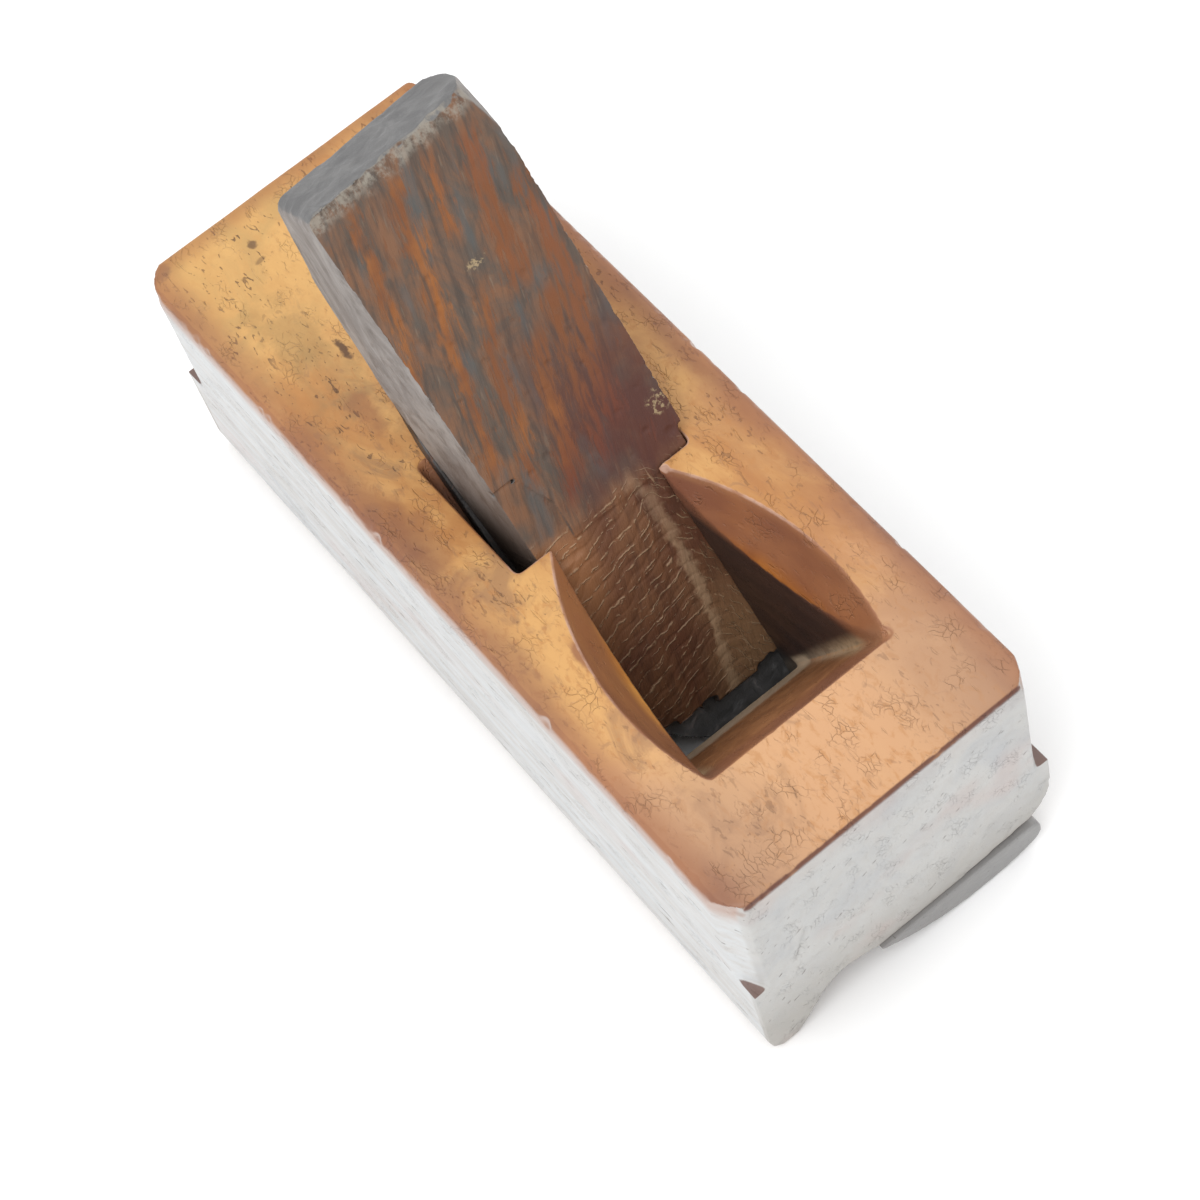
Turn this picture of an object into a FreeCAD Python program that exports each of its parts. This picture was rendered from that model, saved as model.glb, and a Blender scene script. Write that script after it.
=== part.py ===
import FreeCAD, Part
import math
import os

# ---------------------------------------------------------------------------
# Wooden hand plane: stock, sole slip, profiled iron and wedge.
# Millimetres.  X runs across the plane, Y runs from the toe (negative) to the
# heel (positive), Z points up.  The origin is at floor level, in the middle.
# Side-view points are written as (distance from the toe, height).
# ---------------------------------------------------------------------------

# Driving dimensions of the stock
LENGTH = 185.0            # toe to heel
WIDTH = 70.0              # across the stock
HEIGHT = 62.6             # floor to the top of the stock
TOP_ROUND = 2.6           # rounding of the two long top edges
END_ROUND = 0.9           # rounding of the top edges at toe and heel
CORNER_IN = 3.2           # stopped corner chamfer, measured on the end face
CORNER_ALONG = 6.2        # stopped corner chamfer, measured on the side face
CORNER_DEPTH = 35.0       # how far the corner chamfers run down from the top

# Driving dimensions of the moulded sole
FENCE_FOOT = 9.0          # width of the rounded foot of the side fence
FOOT_TURN = math.radians(40.0)  # where the foot's rounding meets the flank
FLANK_RUN = 13.5          # left side to the top of the fence's inner flank
FLANK_HEIGHT = 8.2        # height of the top of the flank
HOLLOW_HEIGHT = 10.8      # highest point of the hollow
SEAT_START = 26.4         # left side to the start of the slip's seat
SEAT_HEIGHT = 8.4         # height of the slip's seat
SEAT_EASE = 1.4           # how far the seat lifts away towards the right side
SOLE_CORNER = 6.2         # width of the rounded lower right corner

# Driving dimensions of the sole slip
SLIP_RADIUS = 43.2        # radius of the convex running face
SLIP_END_INSET = 4.0      # right side of the stock to the slip's rounded end
SLIP_CROWN_INSET = 18.0   # right side of the stock to the slip's lowest line
SLIP_PROUD = 0.9          # the slip stands past the toe and the heel by this

# Driving dimensions of the throat, mortise and mouth
BED_ANGLE = 49.0          # slope of the bed above the horizontal
BED_AT_FLOOR = 56.6       # toe to the bed, at floor level
MORTISE_WIDTH = 40.4
MORTISE_LENGTH = 31.6     # abutment edge to bed, along the top of the stock
ABUTMENT_TIP = 12.3       # centre line to the tip of each abutment, at the top
THROAT_FRONT = 20.3       # centre line to the throat's front corners
FRONT_WALL_ANGLE = 32.0   # lean of the throat's front wall from the vertical
RIDGE_HEIGHT = 18.5       # top of the steep wear above the mouth
MOUTH_HALF = 16.0         # half width of the mouth between the cheeks
MOUTH_GAP = 2.3           # gap in front of the iron at floor level
WEAR_LEAN = 1.6           # forward lean of the wear over its height
NOSE_GAP = 5.2            # wedge room in front of the iron at the nose height
NOSE_HEIGHT = 14.0        # height of the wedge's nose
SLOT_HEIGHT = 8.0         # full-width clearance under the abutments
EYE_SWELL = 6.5           # how far each scooped eye widens the throat's top edge
EYE_DEPTH = 12.0          # how far each eye reaches down the cheek

# Driving dimensions of the iron
IRON_SIDE_GAP = 2.2       # mortise cheek to the iron's edge, on each side
IRON_THICK = 4.0
IRON_LENGTH = 118.0
TANG_LENGTH = 33.0        # tapered shoulders below the iron's struck end
TANG_INSET = 2.6          # how much each shoulder narrows the struck end
IRON_SETBACK = 0.3        # edge above the sole at rest
RELIEF_ANGLE = 18.0       # clearance under the ground bevel

# Driving dimensions of the wedge
WEDGE_GAP_LEFT = 2.0      # mortise cheek to the wedge's left side
WEDGE_GAP_RIGHT = 0.15    # mortise cheek to the wedge's right side
WEDGE_REACH = 79.0        # abutment edge to the middle of the wedge's top, along its face
TOP_SLANT = 0.075         # rise of the struck end towards the right, per unit of width
HEAD_SWELL = 1.2          # the head overhangs the mortise by this on the right
HEAD_START = 2.5          # the overhang begins this far above the stock
HEAD_TAPER = 8.0          # height over which the overhang grows
FACE_ANGLE = 56.0         # slope of the wedge's upper front face
TOP_THICK = 18.0          # thickness of the wedge's top end
BACK_CONTACT = 44.0       # contact with the iron above the stock, along the bed
WEDGE_EASE = 1.3          # rounding of the wedge's handled edges
TOP_EASE = 2.2            # rounding of the wedge's struck edges

SLIDE_GAP = 0.05          # clearance between sliding faces
OVER = 3.0                # how far cutting tools run past the faces they cut

# Widths that follow from the mortise and its clearances
IRON_WIDTH = MORTISE_WIDTH - 2.0 * IRON_SIDE_GAP
WEDGE_LEFT = MORTISE_WIDTH / 2.0 - WEDGE_GAP_LEFT
WEDGE_RIGHT = MORTISE_WIDTH / 2.0 - WEDGE_GAP_RIGHT


def along(distance):
    """Y of a point that lies this far behind the toe."""
    return distance - LENGTH / 2.0


def vec(x, y, z):
    return FreeCAD.Vector(x, y, z)


def side_prism(points, x_low, x_high):
    """Prism across the plane from side-view points."""
    corners = [vec(x_low, along(d), z) for d, z in points]
    face = Part.Face(Part.makePolygon(corners + corners[:1]))
    return face.extrude(vec(x_high - x_low, 0, 0))


def box(x0, x1, d0, d1, z0, z1):
    """Box between two corners, lengthwise limits measured from the toe."""
    return Part.makeBox(x1 - x0, d1 - d0, z1 - z0, vec(x0, along(d0), z0))


def line(a, b):
    return Part.makeLine(a, b)


def arc(a, b, c):
    return Part.Arc(a, b, c).toShape()


# --- shared side-view lines -------------------------------------------------

BED_TAN = math.tan(math.radians(BED_ANGLE))
BED_SIN = math.sin(math.radians(BED_ANGLE))
BED_COS = math.cos(math.radians(BED_ANGLE))


def bed_at(z):
    """Distance from the toe to the bed at height z."""
    return BED_AT_FLOOR + z / BED_TAN


def iron_front_at(z):
    """Distance from the toe to the iron's front face at height z."""
    return bed_at(z) - (IRON_THICK + SLIDE_GAP) / BED_SIN


def wedge_back_at(z):
    """Distance from the toe to the wedge's back face at height z."""
    return iron_front_at(z) - SLIDE_GAP / BED_SIN


def abutment_at(z):
    """Distance from the toe to the abutments' bearing faces at height z."""
    top = bed_at(HEIGHT) - MORTISE_LENGTH
    low = iron_front_at(NOSE_HEIGHT) - NOSE_GAP
    return low + (top - low) * (z - NOSE_HEIGHT) / (HEIGHT - NOSE_HEIGHT)


def wear_at(z):
    """Distance from the toe to the wear, the steep wall over the mouth."""
    return iron_front_at(0.0) - MOUTH_GAP + WEAR_LEAN * z / RIDGE_HEIGHT


def front_wall_at(z):
    """Distance from the toe to the sloping front wall of the throat."""
    lean = math.tan(math.radians(FRONT_WALL_ANGLE))
    return wear_at(RIDGE_HEIGHT) - (z - RIDGE_HEIGHT) * lean


def slip_centre():
    """Cross-section centre (x, z) of the slip's convex running face."""
    return (WIDTH / 2.0 - SLIP_CROWN_INSET, SLIP_RADIUS)


def slip_height(x):
    """Height of the slip's running face at x."""
    cx, cz = slip_centre()
    return cz - math.sqrt(SLIP_RADIUS ** 2 - (x - cx) ** 2)


# --- stock ------------------------------------------------------------------

def stock_section(y):
    """Moulded cross-section of the stock as a face at this y."""
    left, right = -WIDTH / 2.0, WIDTH / 2.0
    start = left + SEAT_START

    def p(x, z):
        return vec(x, y, z)

    foot = FENCE_FOOT / 2.0
    foot_out = p(left, foot)
    foot_low = p(left + foot, 0.0)
    foot_in = p(left + foot * (1.0 + math.cos(FOOT_TURN)), foot * (1.0 - math.sin(FOOT_TURN)))
    flank = p(left + FLANK_RUN, FLANK_HEIGHT)
    crown = p(left + FLANK_RUN + 6.0, HOLLOW_HEIGHT)
    seat_flat = p(start + 20.6, SEAT_HEIGHT)
    seat_end = p(right - SOLE_CORNER, SEAT_HEIGHT + SEAT_EASE)
    rise = 1.5 * SOLE_CORNER
    corner_up = p(right, SEAT_HEIGHT + SEAT_EASE + rise)
    radius = (SOLE_CORNER ** 2 + rise ** 2) / (2.0 * SOLE_CORNER)
    turn = math.asin(rise / radius) / 2.0
    corner_mid = p(right - radius * (1.0 - math.cos(turn)),
                   SEAT_HEIGHT + SEAT_EASE + rise - radius * math.sin(turn))
    edges = [
        line(p(right, HEIGHT), p(left, HEIGHT)),
        line(p(left, HEIGHT), foot_out),
        arc(foot_out, foot_low, foot_in),
        line(foot_in, flank),
        arc(flank, p(left + FLANK_RUN + 2.6, HOLLOW_HEIGHT - 0.75), crown),
        line(crown, p(start - 0.8, HOLLOW_HEIGHT - 1.6)),
        line(p(start - 0.8, HOLLOW_HEIGHT - 1.6), p(start, SEAT_HEIGHT)),
        line(p(start, SEAT_HEIGHT), seat_flat),
        line(seat_flat, seat_end),
        arc(seat_end, corner_mid, corner_up),
        line(corner_up, p(right, HEIGHT)),
    ]
    return Part.Face(Part.Wire(Part.__sortEdges__(edges)))


def corner_cutters():
    """Wedges that cut the stopped chamfers on the four upright corners."""
    tools = []
    for sx in (-1, 1):
        for sy in (-1, 1):
            x, y = sx * WIDTH / 2.0, sy * LENGTH / 2.0
            z = HEIGHT - CORNER_DEPTH
            a = vec(x + sx * CORNER_IN, y - sy * 2.0 * CORNER_ALONG, z)
            b = vec(x + sx * CORNER_IN, y + sy * CORNER_ALONG, z)
            c = vec(x - sx * 2.0 * CORNER_IN, y + sy * CORNER_ALONG, z)
            face = Part.Face(Part.makePolygon([a, b, c, a]))
            tools.append(face.extrude(vec(0, 0, CORNER_DEPTH + OVER)))
    return tools


def throat_section(z, x_front, d_front, x_back, d_back):
    """Level, four-sided outline of the throat."""
    pts = [(-x_front, d_front), (x_front, d_front), (x_back, d_back), (-x_back, d_back)]
    corners = [vec(x, along(d), z) for x, d in pts]
    return Part.makePolygon(corners + corners[:1])


def throat_tool():
    """Void above the mouth: leaning front wall and twisted cheeks."""
    z_low, z_top = RIDGE_HEIGHT, HEIGHT
    low_in = MOUTH_HALF - 0.5
    low = throat_section(z_low, MOUTH_HALF, front_wall_at(z_low),
                         low_in, abutment_at(z_low) + OVER)
    slope = (THROAT_FRONT - ABUTMENT_TIP) / (abutment_at(z_top) - front_wall_at(z_top))
    top = throat_section(z_top, THROAT_FRONT, front_wall_at(z_top),
                         ABUTMENT_TIP - slope * OVER, abutment_at(z_top) + OVER)
    lifted = throat_section(z_top + OVER, THROAT_FRONT, front_wall_at(z_top),
                            ABUTMENT_TIP - slope * OVER, abutment_at(z_top) + OVER)
    return Part.makeLoft([low, top], True, True).fuse(Part.makeLoft([top, lifted], True, True))


def mouth_tool():
    """Void of the mouth below the ridge, open through the sole."""
    between = side_prism([
        (wear_at(RIDGE_HEIGHT), RIDGE_HEIGHT), (wear_at(-OVER), -OVER),
        (bed_at(-OVER), -OVER), (bed_at(RIDGE_HEIGHT), RIDGE_HEIGHT),
    ], -MOUTH_HALF, MOUTH_HALF)
    half = MORTISE_WIDTH / 2.0
    under_abutments = side_prism([
        (wear_at(SLOT_HEIGHT), SLOT_HEIGHT), (wear_at(-OVER), -OVER),
        (bed_at(-OVER), -OVER), (bed_at(SLOT_HEIGHT), SLOT_HEIGHT),
    ], -half, half)
    return between.fuse(under_abutments)


def mortise_tool():
    """Void that holds iron and wedge between bed and abutments."""
    half = MORTISE_WIDTH / 2.0
    top = HEIGHT + OVER
    return side_prism([
        (abutment_at(SLOT_HEIGHT), SLOT_HEIGHT), (bed_at(SLOT_HEIGHT), SLOT_HEIGHT),
        (bed_at(top), top), (abutment_at(top), top),
    ], -half, half)


def eye_tools():
    """Scooped eyes: lens-shaped cuts along the top edges of both cheeks."""
    d0, d1 = front_wall_at(HEIGHT), abutment_at(HEIGHT)
    chord = math.hypot(d1 - d0, THROAT_FRONT - ABUTMENT_TIP)
    level = (chord ** 2 / 4.0 + EYE_SWELL ** 2) / (2.0 * EYE_SWELL)
    upright = (chord ** 2 / 4.0 + EYE_DEPTH ** 2) / (2.0 * EYE_DEPTH)
    inward, above = level - EYE_SWELL, upright - EYE_DEPTH
    radius = math.hypot(level, above)
    low, high = HEIGHT - 2.0 * EYE_DEPTH, HEIGHT + 1.0
    behind_wall = side_prism([
        (front_wall_at(high), high), (front_wall_at(low), low),
        (d1 + OVER, low), (d1 + OVER, high),
    ], -WIDTH / 2.0, WIDTH / 2.0)
    tools = []
    for side in (-1, 1):
        front = vec(side * THROAT_FRONT, along(d0), HEIGHT)
        tip = vec(side * ABUTMENT_TIP, along(d1), HEIGHT)
        run = (tip - front).normalize()
        inner = vec(-side * run.y, side * run.x, 0)
        centre = (front + tip) * 0.5 + inner * inward + vec(0, 0, above)
        ball = Part.makeSphere(radius, centre)
        reach = EYE_SWELL + 4.0
        floor = vec(0, 0, EYE_DEPTH + 4.0)
        a, b = front - inner * reach - floor, tip - inner * reach - floor
        c, d = tip + inner * 5.0 - floor, front + inner * 5.0 - floor
        face = Part.Face(Part.makePolygon([a, b, c, d, a]))
        lens = ball.common(face.extrude(vec(0, 0, EYE_DEPTH + 4.0 + 0.5)))
        tools.append(lens.common(behind_wall))
    return tools


def make_stock():
    """Beech stock with moulded sole, throat, mortise and mouth."""
    body = stock_section(-LENGTH / 2.0).extrude(vec(0, LENGTH, 0))
    body = round_top(body)
    for tool in corner_cutters() + eye_tools():
        body = body.cut(tool)
    for tool in (throat_tool(), mortise_tool(), mouth_tool()):
        body = body.cut(tool)
    return body.removeSplitter()


def round_top(body):
    """Round the long top edges of the blank stock and ease the end ones."""
    long_edges = [e for e in body.Edges
                  if e.BoundBox.ZMin > HEIGHT - 1e-3 and e.BoundBox.YLength > 1.0]
    body = body.makeFillet(TOP_ROUND, long_edges)
    half = WIDTH / 2.0 + OVER
    for toe, inward in ((0.0, 1.0), (LENGTH, -1.0)):
        body = body.cut(side_prism([
            (toe - inward * OVER, HEIGHT + OVER),
            (toe - inward * OVER, HEIGHT - END_ROUND - OVER),
            (toe + inward * (END_ROUND + OVER), HEIGHT + OVER),
        ], -half, half))
    return body


# --- sole slip --------------------------------------------------------------

def make_sole_slip():
    """Dark convex slip fixed along the right part of the sole."""
    y = -LENGTH / 2.0 - SLIP_PROUD
    left = -WIDTH / 2.0 + SEAT_START + 0.4
    right = WIDTH / 2.0 - SLIP_END_INSET
    cx, cz = slip_centre()

    def p(x, z):
        return vec(x, y, z)

    turn = right - 3.0
    low_left = p(left, slip_height(left))
    low_right = p(turn, slip_height(turn))
    edges = [
        line(p(left, SEAT_HEIGHT), low_left),
        arc(low_left, p(cx, 0.0), low_right),
        arc(low_right, p(right, 4.6), p(right - 1.8, SEAT_HEIGHT)),
        line(p(right - 1.8, SEAT_HEIGHT), p(left, SEAT_HEIGHT)),
    ]
    face = Part.Face(Part.Wire(Part.__sortEdges__(edges)))
    body = face.extrude(vec(0, LENGTH + 2.0 * SLIP_PROUD, 0))
    return body.cut(mouth_tool()).cut(mortise_tool()).removeSplitter()


# --- iron -------------------------------------------------------------------

def edge_profile():
    """Cross-section points (x, z) of the cutting edge, left to right."""
    half = IRON_WIDTH / 2.0
    start = -WIDTH / 2.0 + SEAT_START
    left = -WIDTH / 2.0 + FLANK_RUN + 6.0
    lift = IRON_SETBACK
    hollow = []
    if -half < start - 0.8:
        x0 = max(left, -half - 1.0)
        hollow = [(-half - 1.0, HOLLOW_HEIGHT), (x0, HOLLOW_HEIGHT),
                  (start - 0.8, HOLLOW_HEIGHT - 1.6)]
        if x0 <= -half - 1.0:
            hollow = hollow[1:]
    count = 22
    first = max(start + 0.2, -half - 1.0)
    for i in range(count + 1):
        x = first + (half + 1.0 - first) * i / count
        hollow.append((x, slip_height(x)))
    return [(x, z + lift) for x, z in hollow]


def make_iron():
    """Cutter with its edge shaped to the sole, ground from behind."""
    half = IRON_WIDTH / 2.0
    blade = bed_plate(0.0, IRON_THICK, -12.0, IRON_LENGTH, -half, half)
    for side in (-1.0, 1.0):
        blade = blade.cut(tang_cutter(side, half))
    front = [vec(x, along(iron_front_at(z)), z) for x, z in edge_profile()]
    down = vec(0, -BED_COS, -BED_SIN)
    low = [front[-1] + down * 40.0, front[0] + down * 40.0]
    face = Part.Face(Part.makePolygon(front + low + front[:1]))
    relief = math.radians(RELIEF_ANGLE)
    waste = face.extrude(vec(0, math.cos(relief), math.sin(relief)) * 30.0)
    ahead = face.extrude(vec(0, -BED_SIN, BED_COS) * 1.0)
    blade = blade.cut(waste).cut(ahead)
    crown = [e for e in blade.Edges if abs(abs(e.BoundBox.Center.x) - half + TANG_INSET) < 1e-6
             and e.BoundBox.ZMax > IRON_LENGTH * BED_SIN - 8.0
             and e.Length < IRON_THICK + 0.1]
    return blade.makeChamfer(2.5, crown).removeSplitter()


def tang_cutter(side, half):
    """Waste beside one shoulder of the iron's tang."""
    base = vec(0, along(bed_at(0.0)), 0)
    up_bed = vec(0, BED_COS, BED_SIN)
    off_bed = vec(0, -BED_SIN, BED_COS)
    pts = []
    for x, s in ((half + OVER, IRON_LENGTH - TANG_LENGTH), (half, IRON_LENGTH - TANG_LENGTH),
                 (half - TANG_INSET, IRON_LENGTH), (half - TANG_INSET, IRON_LENGTH + OVER),
                 (half + OVER, IRON_LENGTH + OVER)):
        q = base + up_bed * s - off_bed * OVER
        pts.append(vec(side * x, q.y, q.z))
    return Part.Face(Part.makePolygon(pts + pts[:1])).extrude(off_bed * (IRON_THICK + 2.0 * OVER))


def bed_plate(low, high, start, end, x0, x1):
    """Plate lying on the bed between two heights above it, end to end."""
    base = vec(0, along(bed_at(0.0)), 0)
    up_bed = vec(0, BED_COS, BED_SIN)
    off_bed = vec(0, -BED_SIN, BED_COS)
    pts = []
    for s, t in ((start, low), (end, low), (end, high), (start, high)):
        q = base + up_bed * s + off_bed * (t + SLIDE_GAP)
        pts.append(vec(x0, q.y, q.z))
    return Part.Face(Part.makePolygon(pts + pts[:1])).extrude(vec(x1 - x0, 0, 0))


# --- wedge ------------------------------------------------------------------

def on_face(x, up, depth):
    """Point at x, up the wedge's front face and out of it."""
    face = math.radians(FACE_ANGLE)
    return vec(x, along(abutment_at(HEIGHT) + SLIDE_GAP) + up * math.cos(face) - depth * math.sin(face),
               HEIGHT + up * math.sin(face) + depth * math.cos(face))


def face_prism(points, low, high):
    """Solid from points (x, distance up the front face) between two depths."""
    pts = [on_face(x, up, low) for x, up in points]
    out = on_face(0.0, 0.0, 1.0) - on_face(0.0, 0.0, 0.0)
    return Part.Face(Part.makePolygon(pts + pts[:1])).extrude(out * (high - low))


def wedge_outline():
    """Side-view outline of the wedge as (distance from the toe, height)."""
    face = math.radians(FACE_ANGLE)
    reach = WEDGE_REACH + TOP_SLANT * (WEDGE_RIGHT + HEAD_SWELL)
    top_front = (abutment_at(HEIGHT) + SLIDE_GAP + reach * math.cos(face),
                 HEIGHT + reach * math.sin(face))
    top_back = (top_front[0] + TOP_THICK * math.sin(face),
                top_front[1] - TOP_THICK * math.cos(face))
    lift = HEIGHT + BACK_CONTACT * BED_SIN
    nose_back = NOSE_HEIGHT - 1.5
    return [
        (abutment_at(HEIGHT) + SLIDE_GAP, HEIGHT),
        (abutment_at(NOSE_HEIGHT + 1.5) + SLIDE_GAP, NOSE_HEIGHT + 1.5),
        (wedge_back_at(nose_back), nose_back),
        (wedge_back_at(lift), lift),
        top_back,
        top_front,
    ]


def overhang_waste(head):
    """Waste beside the wedge below its overhanging head."""
    start = HEIGHT + HEAD_START
    full = start + HEAD_TAPER
    pts = [vec(x, -LENGTH, z) for x, z in (
        (WEDGE_RIGHT, -OVER), (WEDGE_RIGHT, start), (head, full), (head + OVER, full), (head + OVER, -OVER))]
    return Part.Face(Part.makePolygon(pts + pts[:1])).extrude(vec(0, 2.0 * LENGTH, 0))


def make_wedge():
    """Hardwood wedge with a thick handled top and a tapered nose."""
    head = WEDGE_RIGHT + HEAD_SWELL
    body = side_prism(wedge_outline(), -WEDGE_LEFT, head)
    body = body.cut(overhang_waste(head))
    body = body.cut(face_prism([(-WEDGE_LEFT - OVER, WEDGE_REACH - TOP_SLANT * (WEDGE_LEFT + OVER)),
                                (head + OVER, WEDGE_REACH + TOP_SLANT * (head + OVER)),
                                (head + OVER, WEDGE_REACH + TOP_THICK),
                                (-WEDGE_LEFT - OVER, WEDGE_REACH + TOP_THICK)],
                               -3.0 * TOP_THICK, OVER))
    top_z = HEIGHT + (WEDGE_REACH - TOP_SLANT * WEDGE_LEFT) * math.sin(math.radians(FACE_ANGLE)) - TOP_THICK
    struck, handled = [], []
    for edge in body.Edges:
        box_ = edge.BoundBox
        across = box_.XLength > 1.0
        if across and box_.ZMin > top_z:
            struck.append(edge)
        elif not across and box_.ZMin > top_z and box_.ZMax > top_z + 1.0:
            struck.append(edge)
    body = body.makeFillet(TOP_EASE, struck)
    for edge in body.Edges:
        box_ = edge.BoundBox
        if box_.ZLength > 30.0 and box_.ZMin > HEIGHT - 0.5:
            handled.append(edge)
    return body.makeFillet(WEDGE_EASE, handled).removeSplitter()


PARTS = {
    "stock": make_stock,
    "sole_slip": make_sole_slip,
    "iron": make_iron,
    "wedge": make_wedge,
}

os.makedirs("parts", exist_ok=True)
for node, make in PARTS.items():
    shape = make()
    if not shape.isValid() or len(shape.Solids) != 1:
        print("check", node, "valid:", shape.isValid(), "solids:", len(shape.Solids))
    shape.exportStep("parts/" + node + ".step")
    bb = shape.BoundBox
    print("%-10s volume %9.0f  x %6.1f..%5.1f  y %6.1f..%5.1f  z %6.2f..%6.2f" % (
        node, shape.Volume, bb.XMin, bb.XMax, bb.YMin, bb.YMax, bb.ZMin, bb.ZMax))
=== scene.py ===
"""Looks of a wooden hand plane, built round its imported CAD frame."""

import logging
import math
from dataclasses import dataclass, field
from enum import Enum

import bpy
import numpy as np
from mathutils import Matrix, Vector


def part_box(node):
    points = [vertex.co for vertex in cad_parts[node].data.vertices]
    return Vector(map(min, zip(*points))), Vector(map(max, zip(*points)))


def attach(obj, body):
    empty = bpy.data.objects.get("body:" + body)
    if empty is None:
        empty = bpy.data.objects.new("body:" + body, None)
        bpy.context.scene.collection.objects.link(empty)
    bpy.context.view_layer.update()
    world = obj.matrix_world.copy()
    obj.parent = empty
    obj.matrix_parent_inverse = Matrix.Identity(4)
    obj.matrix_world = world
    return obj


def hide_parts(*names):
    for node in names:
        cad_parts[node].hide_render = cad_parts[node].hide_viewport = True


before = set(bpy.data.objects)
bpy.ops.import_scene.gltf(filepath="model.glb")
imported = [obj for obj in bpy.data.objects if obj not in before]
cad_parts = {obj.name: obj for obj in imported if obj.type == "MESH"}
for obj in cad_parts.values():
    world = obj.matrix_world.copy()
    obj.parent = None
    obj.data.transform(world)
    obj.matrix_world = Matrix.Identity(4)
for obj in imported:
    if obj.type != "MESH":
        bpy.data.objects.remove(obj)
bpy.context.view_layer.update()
LOG = logging.getLogger("hand_plane")
MM = 0.001

Rgb = tuple[float, float, float]


class Shade(Enum):
    """Named colours of the old woods and steel, linear light."""

    HONEY = (0.60, 0.330, 0.118)
    AMBER = (0.43, 0.190, 0.060)
    OLIVE = (0.30, 0.185, 0.070)
    PEACH = (0.60, 0.345, 0.185)
    RUSSET = (0.27, 0.110, 0.050)
    UMBER = (0.090, 0.044, 0.025)
    ASH = (0.545, 0.558, 0.565)
    SOOT = (0.042, 0.040, 0.039)
    STREAK = (0.30, 0.095, 0.022)
    GRIME = (0.135, 0.095, 0.070)
    BLOOD = (0.130, 0.036, 0.020)
    FEATHER = (0.44, 0.30, 0.185)
    SLATE = (0.26, 0.25, 0.24)
    STEEL = (0.16, 0.145, 0.13)


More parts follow.
